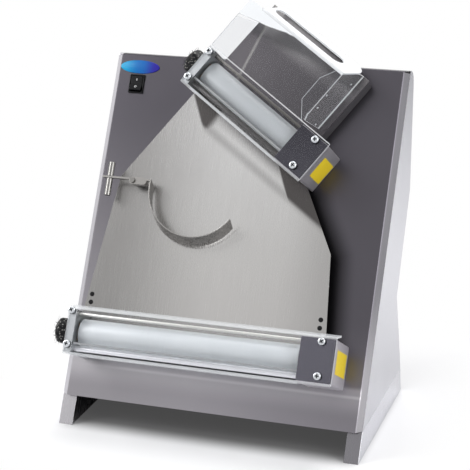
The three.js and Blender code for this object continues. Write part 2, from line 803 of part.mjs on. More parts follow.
// A clear plate in its own plane: x is depth from the front edge, y is height
function guardWall(outline, flare, x) {
  const wall = raised(outline, -clearSheetThickness, 0);
  return wall.rotateY(Math.PI / 2).rotateY(flare).translate(x, 0, unitDepth);
}

// The hood's flange, with a long slot for the dough ball
function hoodFlange() {
  const flare = Math.cos(hoodTilt) * Math.tan(rightFlare);
  const round = hoodCornerRadius;
  const right = feedRight + (hoodDepth - round) * flare;
  const slotRadius = (slotRear - slotFront) / 2;
  const outline = new THREE.Shape([
    [feedRight, 0], ...arc(right - round, hoodDepth - round, round, 0, Math.PI / 2, arcSteps),
    ...arc(round - hoodLeft, hoodDepth - round, round, Math.PI / 2, Math.PI / 2, arcSteps), [-hoodLeft, 0],
  ].map(([x, y]) => new THREE.Vector2(x, y)));
  const middle = slotFront + slotRadius;
  outline.holes.push(new THREE.Path([
    ...arc(feedRight - slotRightInset - slotRadius, middle, slotRadius, Math.PI / 2, -Math.PI, arcSteps),
    ...arc(slotLeftInset + slotRadius - hoodLeft, middle, slotRadius, -Math.PI / 2, -Math.PI, arcSteps),
  ].map(([x, y]) => new THREE.Vector2(x, y))));
  return raised(outline, -clearSheetThickness, 0).rotateX(hoodTilt - Math.PI / 2)
    .translate(0, feedTop, unitDepth);
}

// Clear hood over the chute: front, two flared sides and the slotted flange
function feedGuard() {
  const bottom = guardTop + gap;
  const seat = frameTop + gap;
  const front = raised([
    [-feedLeft, bottom], [feedRight, bottom], [feedRight, feedTop], [-feedLeft, feedTop],
  ], unitDepth - clearSheetThickness, unitDepth);
  const reach = (flare) => (unitDepth - plateFace - gap - clearSheetThickness * Math.sin(flare))
    / Math.cos(flare);
  const rightReach = reach(rightFlare);
  const leftReach = reach(leftFlare);
  const rightTop = feedTop + rightReach * Math.cos(rightFlare) * Math.tan(hoodTilt);
  const rightWall = guardWall([
    [clearSheetThickness + gap, seat], [rightReach, seat], [rightReach, rightTop], [0, feedTop],
    [0, bottom], [clearSheetThickness + gap, bottom],
  ], -rightFlare, feedRight);
  const leftWall = guardWall([
    [clearSheetThickness + gap, seat], [leftReach, seat], [leftReach, feedLeftRearTop], [0, feedLeftTop],
    [0, bottom], [clearSheetThickness + gap, bottom],
  ], -leftFlare, clearSheetThickness - feedLeft);
  const tab = raised([
    [feedRight - clearSheetThickness, bottom],
    [feedRight - clearSheetThickness, feedTop - clearSheetThickness],
    [feedRight - tabWidth, feedTop - tabTaper], [feedRight - tabWidth, bottom + tabTaper * 2 / 3],
  ], unitDepth - 2 * clearSheetThickness, unitDepth - clearSheetThickness / 2);
  return joined(front, rightWall, leftWall, tab, hoodFlange());
}

function turner() {
  const group = new THREE.Group();
  group.position.set(-turnerPivotX, turnerPivotY, 0);
  group.add(
    piece('turner_pivot', turnerPivot(), polishedSteel),
    piece('turner_arm', turnerArm(), polishedSteel),
    piece('turner_blade', bladeStrip(bladeThickness, turnerFace, turnerFace - turnerBlade), polishedSteel),
    piece('turner_weight', turnerWeight(), polishedSteel),
  );
  return group;
}

// Everything that is fixed to the slanted panel
function slantedFront() {
  const front = new THREE.Group();
  front.rotation.x = Math.PI / 2 - leanAngle;
  const lower = rollerUnit('lower', lowerLength, lowerMotorLength, true);
  lower.position.set(lowerCentreX, lowerCentreY, 0);
  const upper = rollerUnit('upper', upperLength, upperMotorLength, false);
  upper.position.set(upperCentreX, upperCentreY, 0);
  upper.rotation.z = -upperTilt;
  upper.add(
    piece('feed_chute', feedChute(), darkStainless),
    piece('chute_bracket', channel(chuteBracketLeft, railWidth, chuteBracketBottom, chuteBracketTop),
      stainless),
    piece('feed_guard', feedGuard(), clearPlastic),
  );
  const leftRail = channel(leftRailInset - plateLeftFoot, railWidth, railBottom, leftRailTop);
  const rightRail = channel(plateRightFoot - rightRailInset, railWidth, railBottom, rightRailTop);
  front.add(
    piece('slide_plate', slidePlate(), lightStainless),
    piece('slide_plate_left_rail', leftRail, stainless),
    piece('slide_plate_right_rail', rightRail, stainless),
    piece('switch_housing', switchHousing(), blackPlastic, [-switchOffset, switchHeight, 0]),
    piece('switch_rocker', switchRocker(), blackPlastic, [-switchOffset, switchHeight, 0]),
    lower, upper, turner(),
  );
  return front;
}

function machine() {
  const whole = new THREE.Group();
  whole.add(
    piece('body_shell', bodyShell(), stainless),
    piece('rear_cover', rearCover(), stainless),
    piece('base_pan', basePan(), stainless),
    piece('left_foot_rail', footRail(-1), stainless),
    piece('right_foot_rail', footRail(1), stainless),
    piece('cable_gland', cableGland(), blackPlastic),
    slantedFront(),
  );
  whole.updateMatrixWorld(true);
  const box = new THREE.Box3().setFromObject(whole, true);
  const middle = box.getCenter(new THREE.Vector3());
  whole.position.set(-middle.x, -middle.y, -box.min.z);
  return whole;
}

export default machine();
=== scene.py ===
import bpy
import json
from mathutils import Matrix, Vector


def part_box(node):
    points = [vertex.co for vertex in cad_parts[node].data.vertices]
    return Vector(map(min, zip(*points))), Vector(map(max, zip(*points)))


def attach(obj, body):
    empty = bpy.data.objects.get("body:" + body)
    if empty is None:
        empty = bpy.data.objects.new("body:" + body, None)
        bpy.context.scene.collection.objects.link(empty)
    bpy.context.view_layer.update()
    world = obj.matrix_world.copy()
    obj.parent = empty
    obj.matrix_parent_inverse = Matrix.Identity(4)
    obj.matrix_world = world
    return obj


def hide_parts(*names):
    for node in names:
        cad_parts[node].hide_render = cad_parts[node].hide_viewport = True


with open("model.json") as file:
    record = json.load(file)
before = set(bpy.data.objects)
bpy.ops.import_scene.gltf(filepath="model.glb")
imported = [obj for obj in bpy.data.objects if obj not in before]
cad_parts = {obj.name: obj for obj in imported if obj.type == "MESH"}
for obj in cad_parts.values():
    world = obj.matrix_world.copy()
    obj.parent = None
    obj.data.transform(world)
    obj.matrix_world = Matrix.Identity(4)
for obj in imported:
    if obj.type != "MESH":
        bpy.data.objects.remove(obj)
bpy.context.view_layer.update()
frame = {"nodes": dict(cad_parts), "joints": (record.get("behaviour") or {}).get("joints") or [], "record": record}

import json
import math

import bmesh
import bpy
from mathutils import Matrix, Vector

bl_info = {
    "name": "Dough Roller Machine",
    "version": (1, 0, 0),
    "blender": (4, 5, 0),
    "location": "View3D > Sidebar > Dough Roller",
    "description": "Dresses a packed dough roller machine with finishes, fasteners, guards and a studio",
    "category": "Object",
}

BODY = "machine_body"
UNITS = ("lower", "upper")
JOINTS = {joint["name"]: joint for joint in frame["joints"]}
OUT = Vector(JOINTS["turner_swing"]["axis"])
ACROSS = Vector((1, 0, 0))
UP_SLANT = OUT.cross(ACROSS)
MIRROR_LEAN = 1.58  # how far the ends of the upper unit's painted reflection lean across, per metre below it


def length(name, default, description):
    return bpy.props.FloatProperty(
        name=name, default=default, description=description, unit="LENGTH", precision=5, min=0)


def colour(name, default, description):
    return bpy.props.FloatVectorProperty(
        name=name, default=default, description=description, subtype="COLOR", min=0, max=1)


class DOUGHROLLER_PG_sizes(bpy.types.PropertyGroup):
    """Sizes of the pieces that dress the machine."""
    front_axis_depth: length("Front roller depth", 0.054, "Front roller axis above the slanted panel")
    unit_depth: length("Unit depth", 0.090, "Outer face of the clear guards above the panel")
    sheet: length("Clear sheet", 0.003, "Thickness of the clear guards")
    guard_return: length("Guard return", 0.020, "Depth of the roller guard's bottom return")
    roller_radius: length("Roller radius", 0.0223, "Radius of the white rollers")
    bracket_thickness: length("Bracket thickness", 0.012, "Thickness of the left bracket")
    drive_width: length("Drive width", 0.056, "Width of the gear housing")
    guard_top: length("Guard top", 0.0367, "Top edge of the roller guard")
    guard_bottom: length("Guard bottom", 0.0393, "Bottom edge of the roller guard")
    screw_radius: length("Screw radius", 0.0060, "Radius of the pan heads on the guards")
    screw_height: length("Screw height", 0.0034, "Height of the pan heads on the guards")
    knob_reach: length("Knob reach", 0.02725, "How far a knob stands out of its bracket")


class DOUGHROLLER_PG_colours(bpy.types.PropertyGroup):
    """Colours of the machine's finishes."""
    # Painted light and shade: the panel's colours run from painted light low down to painted shade high up and at
    # the lower right, and the chamfers, feet and sides are lit and shaded copies of one steel.
    panel_low: colour("Panel, low", (0.36, 0.345, 0.37), "Lower end of the slanted steel panel")
    panel_low_right: colour("Panel, low right", (0.20, 0.19, 0.21), "Right lower corner of the panel")
    left_edge: colour("Left chamfer", (0.52, 0.51, 0.54), "Narrow chamfer left of the panel")
    right_edge: colour("Right chamfer", (0.053, 0.052, 0.056), "Narrow chamfer right of the panel")
    right_edge_low: colour("Right chamfer, low", (0.155, 0.152, 0.160), "Foot of the right chamfer")
    foot_right: colour("Right foot", (0.20, 0.195, 0.21), "Shaded steel of the right foot's front")
    panel_high: colour("Panel, high", (0.085, 0.080, 0.092), "Upper end of the slanted steel panel")
    side: colour("Sides", (0.70, 0.70, 0.74), "Steel of the two sides")
    plate: colour("Slide plate", (0.38, 0.372, 0.365), "Light steel of the slide plate")
    # Colour of the upper unit's painted reflection in the slide plate.
    shadow: colour("Reflected shade", (0.078, 0.073, 0.072), "Shade of the upper unit in the slide plate")
    # The mirror steels of the tray and the gear covers are painted dark, standing in for the dark surroundings
    # they mirror.
    tray: colour("Feed tray", (0.14, 0.13, 0.14), "Dark mirror steel of the feed tray")
    cover: colour("Gear covers", (0.13, 0.125, 0.15), "Dark mirror steel of the gear covers")
    aluminium: colour("Brackets", (0.46, 0.475, 0.485), "Milled aluminium of the brackets")
    roller: colour("Rollers", (0.80, 0.83, 0.85), "Milky plastic of the rollers")
    black: colour("Black plastic", (0.004, 0.004, 0.005), "Knobs, switch and gland")
    label: colour("Labels", (0.80, 0.60, 0.015), "Blank yellow labels")
    name_plate_pale: colour("Name plate, left", (0.0, 0.34, 0.60), "Left end of the blank name plate")
    name_plate: colour("Name plate", (0.0, 0.125, 0.42), "Middle of the blank name plate")
    name_plate_deep: colour("Name plate, right", (0.022, 0.014, 0.30), "Right end of the blank name plate")


def dimmed(shade, share):
    return tuple(share * part for part in shade)


class Value:
    """A number from a shader socket, so that maths written on it adds the nodes."""

    def __init__(self, finish, socket):
        self.finish = finish
        self.socket = socket

    def maths(self, operation, *others, first=None):
        inputs = [self, *others] if first is None else [first, self, *others]
        node = self.finish.node("ShaderNodeMath", {"operation": operation}, dict(enumerate(inputs)))
        return Value(self.finish, node.outputs[0])

    def __add__(self, other):
        return self.maths("ADD", other)

    def __sub__(self, other):
        return self.maths("SUBTRACT", other)

    def __rsub__(self, other):
        return self.maths("SUBTRACT", first=other)

    def __mul__(self, other):
        return self.maths("MULTIPLY", other)

    __radd__, __rmul__ = __add__, __mul__

    def above(self, edge):
        return self.maths("GREATER_THAN", edge)

    def larger(self, other):
        return self.maths("MAXIMUM", other)

    def smaller(self, other):
        return self.maths("MINIMUM", other)

    def size(self):
        return self.maths("ABSOLUTE")

    def ramp(self, start, end):
        """Zero before start, one after end and smooth between them."""
        node = self.finish.node("ShaderNodeMapRange", {"interpolation_type": "SMOOTHSTEP"}, {
            "Value": self, "From Min": start, "From Max": end, "To Min": 0.0, "To Max": 1.0})
        return Value(self.finish, node.outputs[0])

    def fall(self, start, end):
        """One before start and zero after end."""
        return 1.0 - self.ramp(start, end)

    def around(self, middle, start, end):
        """One near a middle and zero from a distance on."""
        return (self - middle).size().fall(start, end)


class Finish:
    """A material, or the world, that is being made. All its nodes come from one method."""

    def __init__(self, name, kind=bpy.data.materials):
        self.owner = kind.new(name)
        self.owner.use_nodes = True
        self.tree = self.owner.node_tree
        self.tree.nodes.clear()

    def node(self, kind, settings=None, inputs=None):
        node = self.tree.nodes.new(kind)
        for key, value in (settings or {}).items():
            setattr(node, key, value)
        for key, value in (inputs or {}).items():
            if isinstance(value, Value):
                self.tree.links.new(value.socket, node.inputs[key])
            elif isinstance(value, bpy.types.NodeSocket):
                self.tree.links.new(value, node.inputs[key])
            elif node.inputs[key].type == "RGBA" and len(value) == 3:
                node.inputs[key].default_value = (*value, 1.0)
            else:
                node.inputs[key].default_value = value
        return node

    def place(self):
        return self.node("ShaderNodeTexCoord").outputs["Object"]

    def axes(self):
        """The three coordinates of a place, as values."""
        parts = self.node("ShaderNodeSeparateXYZ", None, {0: self.place()})
        return [Value(self, socket) for socket in parts.outputs]

    def along(self, direction, start=Vector()):
        """Distance along a direction from a start."""
        node = self.node("ShaderNodeVectorMath", {"operation": "DOT_PRODUCT"}, {
            0: self.place(), 1: tuple(direction)})
        return Value(self, node.outputs["Value"]) - start.dot(direction)

    def noise(self, scale, detail=2.0, stretch=None):
        """Noise over the piece, drawn out by a stretch of the slanted panel's axes."""
        place = self.place()
        if stretch is not None:
            parts = [self.along(axis * share) for axis, share in zip((ACROSS, UP_SLANT, OUT), stretch)]
            place = self.node("ShaderNodeCombineXYZ", None, dict(enumerate(parts))).outputs[0]
        node = self.node("ShaderNodeTexNoise", None, {"Vector": place, "Scale": scale, "Detail": detail})
        return Value(self, node.outputs["Fac"])

    def grain(self):
        """The fine marks of sheet that was ground up and down the slant."""
        return self.noise(900.0, 2.0, (1, 0.02, 1))

    def blend(self, factor, first, second):
        node = self.node("ShaderNodeMix", {"data_type": "RGBA"}, {0: factor, 6: first, 7: second})
        return node.outputs[2]

    def mix(self, share, first, second):
        return self.node("ShaderNodeMixShader", None, {0: share, 1: first, 2: second}).outputs[0]

    def surface(self, base, roughness, relief, metallic=1.0, extra=None):
        """A surface's shader; its relief is a height, a strength and a distance."""
        bump = self.node("ShaderNodeBump", None, dict(zip(("Height", "Strength", "Distance"), relief)))
        return self.node("ShaderNodeBsdfPrincipled", None, {
            "Base Color": base, "Metallic": metallic, "Roughness": roughness,
            "Normal": bump.outputs[0], **(extra or {})}).outputs[0]

    def solid(self, *looks):
        return self.done(self.surface(*looks))

    def done(self, shader, output="ShaderNodeOutputMaterial"):
        self.node(output, None, {"Surface": shader})
        return self.owner


def upper_axes(finish):
    """Distance along the upper unit and across it, from its middle."""
    place = unit_place("upper")
    return [finish.along(place.col[axis].xyz, place.translation) for axis in (0, 1)]


def unit_shade(finish):
    """The painted reflection of the upper unit in the slide plate: its bracket, its housing and the bars between
    them.
    """
    across, height = upper_axes(finish)
    below = height * -1.0
    lean = across - below * MIRROR_LEAN
    inside = lean.ramp(-0.190, -0.182)
    covered = below.fall(0.0655, 0.0755)
    bracket = inside * across.fall(-0.072, -0.056) * covered
    housing = lean.ramp(0.003, 0.010) * covered
    close = below.fall(0.034, 0.058) * (0.45 + across.ramp(-0.08, 0.05) * 0.30)
    bars = below.around(0.0675, 0.0, 0.012) * 0.32
    return bracket.larger(housing).larger(inside * (close + bars))


def plate_left_shade(finish):
    """Painted shade over the slide plate's left part."""
    return finish.along(ACROSS).fall(-0.21, 0.01)


def plate_right_shade(finish):
    """Painted shade over the slide plate's right margin."""
    return finish.along(ACROSS).ramp(0.08, 0.185)


def plate_shade(finish):
    """The soft shade on the panel beside the slide plate's right edge."""
    place, plate = panel_place(), DOUGHROLLER_OT_slide_plate
    distances = []
    for start, end in ((plate.FOOT, plate.HIP), (plate.HIP, plate.SHOULDER)):
        side = (end - start).normalized().cross(Vector((0, 0, 1)))
        distances.append(finish.along(place.to_3x3() @ side, place @ plate.HIP))
    distance = distances[0].larger(distances[1])
    height = finish.along(UP_SLANT, place.translation)
    beside = distance.ramp(-0.020, -0.010) * distance.fall(0.0, 0.036)
    return beside * height.fall(0.41, 0.47) * height.ramp(0.12, 0.18) * 0.85


def guard_mirror(finish):
    """The painted reflection of the lower guard on the panel below it: a light band, with the line of the guard's
    edge.
    """
    below = finish.along(UP_SLANT * -1, unit_place("lower").translation)
    line = below.around(0.0440, 0.0, 0.0040) * finish.along(ACROSS).ramp(-0.24, -0.12) * 0.24
    return below.ramp(0.026, 0.034) * below.fall(0.042, 0.080) * 0.28 + line


def hood_highlight(finish):
    """The painted highlight along the hood's bend, standing in for the sheet mirroring the lamps."""
    hood = DOUGHROLLER_OT_hood
    across, height = upper_axes(finish)
    wave = (finish.noise(40.0) - 0.5) * 0.006
    edge = (across * hood.HAZE_SLOPE + (hood.TOP - hood.HAZE_END * hood.HAZE_SLOPE)).smaller(hood.TOP)
    return (height - edge + wave).ramp(0.0, 0.0012)


def brushed_steel(name, low, high, start, end, roughness, shades=()):
    """Stainless sheet, ground along one direction, painted between a lit and a shaded colour up the slant, under
    its painted shades.
    """
    finish = Finish(name)
    grit, cloud = finish.grain(), finish.noise(7.0)
    base = finish.blend(finish.along(UP_SLANT).ramp(start, end), low, high)
    base = finish.blend((cloud - 0.35) * 0.2 + (grit - 0.5) * 0.05, base, dimmed(high, 0.86))
    for shade, shaded in shades:
        base = finish.blend(shade(finish), base, shaded)
    return finish.solid(base, roughness + (grit - 0.5) * 0.12 + (cloud - 0.5) * 0.06, (grit, 0.05, 0.0002))


def body_steel(colours):
    """The shell's steel, with painted light and shade: a painted gradient up the front, painted shade to the
    right, and lit, paler sides.
    """
    finish = Finish("body_steel")
    grit, cloud = finish.noise(700.0, 2.0, (1, 0.03, 1)), finish.noise(5.0)
    x, _, z = finish.axes()
    right = x.ramp(0.02, 0.20)
    height = z.ramp(0.02, 0.50) * (1.0 - right) + z.ramp(0.05, 0.20) * right
    low = finish.blend(x.ramp(-0.25, 0.25), colours.panel_low, colours.panel_low_right)
    front = finish.blend(height, low, colours.panel_high)
    # Painted shade over the left of the front and beside the slide plate, and the painted reflection of the lower
    # guard.
    front = finish.blend(x.fall(-0.22, 0.06) * 0.32, front, (0.02, 0.019, 0.022))
    front = finish.blend(plate_shade(finish), front, (0.012, 0.0115, 0.0125))
    front = finish.blend(guard_mirror(finish), front, (0.66, 0.64, 0.67))
    # The chamfers and sides are lit and shaded copies of the steel: a lit left chamfer, a shaded right one, and
    # sides in painted shade low down.
    right_edge = finish.blend(z.ramp(0.04, 0.26), colours.right_edge_low, colours.right_edge)
    edge = finish.blend(x.above(0.0), colours.left_edge, right_edge)
    side = finish.blend(z.ramp(0.1, 0.6), dimmed(colours.side, 0.85), colours.side)
    base = finish.blend(x.size().ramp(0.2400, 0.2425), front, edge)
    base = finish.blend(x.size().ramp(0.24985, 0.24999), base, side)
    base = finish.blend((cloud - 0.4) * 0.30, base, (0.12, 0.11, 0.13))
    return finish.solid(base, 0.32 + (grit - 0.5) * 0.10 + (cloud - 0.5) * 0.06, (grit, 0.05, 0.0002))


def foot_steel(colours):
    """The foot rails' steel, lit and shaded copies of one steel: painted light on the left and on the outer sides,
    painted shade on the right.
    """
    finish = Finish("foot_steel")
    grit, x = finish.grain(), finish.along(ACROSS)
    base = finish.blend(x.above(0.0), (0.42, 0.41, 0.43), colours.foot_right)
    base = finish.blend(x.size().ramp(0.2488, 0.2494), base, dimmed(colours.side, 0.90))
    base = finish.blend((grit - 0.5) * 0.10, base, (0.20, 0.19, 0.21))
    return finish.solid(base, 0.26 + (grit - 0.5) * 0.12, (grit, 0.05, 0.0002))


def housing_steel():
    """The gear housings' steel: dull, so that it catches light from the side, and in painted shade up the slant,
    on the upper housing.
    """
    finish = Finish("housing_steel")
    grit, cloud = finish.grain(), finish.noise(30.0)
    base = finish.blend(finish.along(UP_SLANT).ramp(0.15, 0.55), (0.50, 0.48, 0.52), (0.26, 0.255, 0.27))
    base = finish.blend((cloud - 0.35) * 0.4, base, (0.20, 0.19, 0.21))
    return finish.solid(base, 0.38 + (grit - 0.5) * 0.14, (grit, 0.06, 0.0002), 0.55)


def tray_steel(colours):
    """Dark mirror steel of the feed tray, painted dark, with painted shade to the right, painted light on its wing
    and near its top, and a painted highlight along its fold.
    """
    finish = Finish("tray_steel")
    place, tray = unit_place("upper"), DOUGHROLLER_OT_chute
    way = (tray.FOLD_HIGH - tray.FOLD_LOW).normalized()
    right = place.to_3x3() @ way.cross(Vector((0, 0, 1)))
    beside = finish.along(right, place @ tray.FOLD_LOW)
    height = finish.along(place.col[1].xyz, place.translation)
    grit, cloud = finish.grain(), finish.noise(9.0)
    base = finish.blend(beside.ramp(0.0, 0.16), colours.tray, dimmed(colours.tray, 0.62))
    base = finish.blend((cloud - 0.4) * 0.8, base, (0.075, 0.072, 0.080))
    base = finish.blend(beside.above(0.0), dimmed(colours.tray, 1.18), base)
    # Painted light near the top, and a painted highlight along the fold.
    light = height.ramp(0.096, 0.124) * (1.0 - beside.ramp(0.05, 0.15) * 0.75)
    base = finish.blend(light, base, (0.30, 0.29, 0.295))
    base = finish.blend(beside.around(0.0, 0.0006, 0.0034) * 0.62, base, (0.45, 0.44, 0.42))
    return finish.solid(base, 0.24 + (grit - 0.5) * 0.10, (grit, 0.04, 0.0002))


def bar_steel(name, low, high, metallic, roughness, spread, haziness=0.0):
    """Round bar with light hazy mottling, darker on the upper unit with painted shade."""
    finish = Finish(name)
    haze_and_highlight = finish.noise(60.0)
    base = finish.blend(finish.along(UP_SLANT).ramp(0.25, 0.40), low, high)
    base = finish.blend(haze_and_highlight * haziness, base, (0.34, 0.34, 0.35))
    return finish.solid(base, roughness + haze_and_highlight * spread, (haze_and_highlight, 0.02, 0.0002), metallic)


def milled_aluminium(colours):
    """Aluminium with fine cutter marks."""
    finish = Finish("milled_aluminium")
    marks, cloud = finish.noise(500.0, 2.0, (0.08, 1, 1)), finish.noise(20.0)
    base = finish.blend(cloud * 0.5 + marks * 0.3, colours.aluminium, (0.36, 0.37, 0.38))
    return finish.solid(base, 0.38 + (marks - 0.5) * 0.2, (marks, 0.15, 0.0002))


def roller_plastic(colours):
    """Milky food-safe plastic with faint turning marks, darker on the upper unit with painted shade."""
    finish = Finish("roller_plastic")
    marks, cloud = finish.noise(260.0, 2.0, (1, 0.15, 0.15)), finish.noise(14.0)
    base = finish.blend(finish.along(UP_SLANT).ramp(0.20, 0.45), colours.roller, dimmed(colours.roller, 0.66))
    base = finish.blend(cloud * 0.4 + marks * 0.2, base, (0.50, 0.54, 0.56))
    return finish.solid(base, 0.34 + (cloud - 0.5) * 0.12, (marks, 0.08, 0.0002), 0.0, {
        "Subsurface Weight": 0.15, "Subsurface Radius": (0.004, 0.004, 0.004)})


def black_plastic(colours, name="black_plastic", roughness=0.24, peel=0.18, gloss=0.14, glint=0.0):
    """Moulded black plastic with an orange peel, and with painted glints on a grip, where a real grip's fine ribs
    catch the light.
    """
    finish = Finish(name)
    dust = finish.noise(60.0, 3.0)
    base = finish.blend(dust * 0.4, colours.black, (0.012, 0.012, 0.013))
    base = finish.blend(finish.noise(420.0, 0.0).ramp(0.68, 0.74) * glint, base, (0.50, 0.49, 0.47))
    return finish.solid(base, roughness + dust * 0.12, (finish.noise(450.0), peel, 0.0008), 0.0, {
        "Specular IOR Level": gloss})


def clear_sheet(name="clear_sheet", milk_and_highlight=0.004, haze_and_highlight=None):
    """Clear plastic: it reflects at a slant and lets light through; its cut edges are milkier, and a painted
    highlight can be laid on it.
    """
    finish = Finish(name)
    smear = finish.noise(12.0)
    slant = Value(finish, finish.node("ShaderNodeLayerWeight", None, {"Blend": 0.5}).outputs["Facing"])
    see_through = finish.node("ShaderNodeBsdfTransparent", None, {"Color": (0.965, 0.967, 0.972)}).outputs[0]
    base = finish.blend(smear, (0.86, 0.88, 0.90), (0.78, 0.80, 0.82))
    sheen = finish.surface(base, 0.06 + smear * 0.06, (smear, 0.02, 0.0002), 0.0)
    share = milk_and_highlight + smear * 0.012 + slant * slant * slant * slant * slant * 0.8
    # The painted highlight along the hood's bend.
    if haze_and_highlight is not None:
        share = share + haze_and_highlight(finish) * 0.93
    return finish.done(finish.mix(share.larger(0.0).smaller(1.0), see_through, sheen))


def name_plate(colours):
    """A domed blank plate that runs from pale to deep blue."""
    finish = Finish("blue_name_plate")
    across, cloud = finish.along(ACROSS), finish.noise(120.0)
    base = finish.blend(across.ramp(-0.240, -0.205), colours.name_plate_pale, colours.name_plate)
    base = finish.blend(across.ramp(-0.205, -0.178), base, colours.name_plate_deep)
    base = finish.blend(cloud * 0.1, base, (0.02, 0.06, 0.25))
    return finish.solid(base, 0.22 + cloud * 0.05, (cloud, 0.03, 0.0001), 0.0, {"Specular IOR Level": 0.25})


def filmed(name, noise, first, second, share, roughness, spread, relief, metallic=0.0):
    """A plain finish whose colour and roughness vary together, as under a thin film."""
    finish = Finish(name)
    film = finish.noise(*noise)
    base = finish.blend(film * share, first, second)
    return finish.solid(base, roughness + film * spread, (film, *relief), metallic)


def flat_print(name, shade, roughness=0.30):
    """A printed foil or a lacquered plate."""
    return filmed(name, (120.0,), shade, dimmed(shade, 0.82), 0.5, roughness, 0.1, (0.04, 0.0001))


FINISHES = {}
CLEAR = ("clear", "clear_bend", "clear_edge")


def make_finishes(colours):
    plate = colours.plate
    # Painted shade on the slide plate's left part and right margin, and the upper unit's painted reflection.
    slide_shades = ((plate_left_shade, dimmed(plate, 0.63)), (plate_right_shade, dimmed(plate, 0.92)),
                    (unit_shade, colours.shadow))
    FINISHES.update({
        "body_steel": body_steel(colours),
        "plate_steel": brushed_steel("plate_steel", plate, (0.44, 0.438, 0.438), 0.15, 0.55, 0.26),
        "slide_steel": brushed_steel(
            "slide_steel", dimmed(plate, 1.18), (0.515, 0.512, 0.512), 0.15, 0.50, 0.26, slide_shades),
        "housing_steel": housing_steel(),
        "foot_steel": foot_steel(colours),
        "turner_steel": brushed_steel(
            "turner_steel", (0.34, 0.33, 0.32), (0.28, 0.27, 0.26), 0.15, 0.55, 0.22),
        "rod_steel": brushed_steel(
            "rod_steel", (0.21, 0.205, 0.195), (0.17, 0.165, 0.16), 0.15, 0.55, 0.30),
        "tray_steel": tray_steel(colours),
        "cover_steel": brushed_steel(
            "cover_steel", colours.cover, (0.030, 0.028, 0.036), 0.15, 0.52, 0.18),
        "aluminium": milled_aluminium(colours),
        "polished_steel": bar_steel(
            "polished_steel", (0.86, 0.86, 0.89), (0.075, 0.070, 0.068), 0.6, 0.42, 0.06, 0.15),
        "thin_steel": bar_steel(
            "thin_bar_steel", (0.66, 0.65, 0.62), (0.12, 0.115, 0.108), 0.85, 0.34, 0.08),
        "zinc": filmed("bright_zinc", (400.0,), (0.60, 0.62, 0.64), (0.44, 0.46, 0.50),
                       0.6, 0.22, 0.14, (0.05, 0.0001), 1.0),
        "recess": filmed("recess_shade", (500.0,), (0.035, 0.036, 0.040), (0.07, 0.072, 0.08),
                         1.0, 0.45, 0.1, (0.05, 0.0001), 1.0),
        "roller": roller_plastic(colours),
        "black": black_plastic(colours),
        "grip": black_plastic(colours, "black_grip", 0.26, 0.12, 0.12, 0.8),
        "scraper": flat_print("scraper_plastic", (0.36, 0.37, 0.38), 0.40),
        "rubber": black_plastic(colours, "black_rubber", 0.55),
        # clear_bend is a painted highlight on the bends, clear_edge a milkier cut edge that also carries painted
        # highlights, clear_hood the painted highlight on the hood's bend.
        "clear": clear_sheet(),
        "clear_hood": clear_sheet("clear_sheet_hood", 0.004, hood_highlight),
        "clear_bend": clear_sheet("clear_sheet_bend", 0.35),
        "clear_edge": clear_sheet("clear_sheet_edge", 0.62),
        "label": flat_print("yellow_label", colours.label),
        "name_plate": name_plate(colours),
        "mark": flat_print("white_mark", (0.75, 0.75, 0.75)),
        "skirt": flat_print("skirt_grey", (0.050, 0.048, 0.052), 0.45),
        "gear": filmed("gear_metal", (90.0, 3.0), (0.20, 0.21, 0.23), (0.10, 0.09, 0.07),
                       1.0, 0.3, 0.25, (0.1, 0.0004), 0.9),
        "motor": filmed("motor_paint", (160.0, 3.0), (0.05, 0.052, 0.058), (0.085, 0.09, 0.10),
                        1.0, 0.4, 0.2, (0.2, 0.0005)),
        "bronze": filmed("bearing_bronze", (140.0, 3.0), (0.50, 0.30, 0.11), (0.34, 0.19, 0.07),
                         1.0, 0.3, 0.2, (0.05, 0.0002), 1.0),
    })


def paint(piece, *finishes):
    """Gives a piece its finishes; its faces take the first one."""
    piece.data.materials.clear()
    for finish in finishes:
        piece.data.materials.append(FINISHES[finish])


def repaint(piece, index, test):
    """Gives the faces that pass a test another one of the piece's finishes."""
    for face in piece.data.polygons:
        if test(face):
            face.material_index = index


def only(piece):
    """Leaves one piece selected and active."""
    bpy.ops.object.select_all(action="DESELECT")
    bpy.context.view_layer.objects.active = piece
    piece.select_set(True)


def primitive(kind, **settings):
    """A new primitive, added with nothing selected."""
    bpy.ops.object.select_all(action="DESELECT")
    getattr(bpy.ops.mesh, f"primitive_{kind}_add")(**settings)
    return bpy.context.active_object


class Editing:
    """Edit mode on one piece, with its vertices, edges or faces picked by a test."""

    def __init__(self, piece):
        self.piece = piece

    def __enter__(self):
        only(self.piece)
        bpy.ops.object.mode_set(mode="EDIT")
        return self

    def __exit__(self, *trouble):
        bpy.ops.object.mode_set(mode="OBJECT")

    def pick(self, kind, test):
        """Selects the vertices, edges or faces that pass a test, and returns how many."""
        bpy.ops.mesh.select_mode(type={"verts": "VERT", "edges": "EDGE", "faces": "FACE"}[kind])
        bpy.ops.mesh.select_all(action="DESELECT")
        mesh = bmesh.from_edit_mesh(self.piece.data)
        picked = [item for item in getattr(mesh, kind) if test(item)]
        for item in picked:
            item.select = True
        mesh.select_flush_mode()
        bmesh.update_edit_mesh(self.piece.data)
        return len(picked)

    def split(self, point, normal, clear=False):
        """Cuts the whole piece along a plane, and can remove what lies beyond it."""
        bpy.ops.mesh.select_all(action="SELECT")
        bpy.ops.mesh.bisect(plane_co=point, plane_no=normal, clear_outer=clear)


def modify(piece, kind, **settings):
    """Adds a modifier and applies it."""
    only(piece)
    modifier = piece.modifiers.new(kind.title(), kind)
    for key, value in settings.items():
        setattr(modifier, key, value)
    bpy.ops.object.modifier_apply(modifier=modifier.name)


def smoothed(piece, limit=35):
    only(piece)
    bpy.ops.object.shade_smooth_by_angle(angle=math.radians(limit))


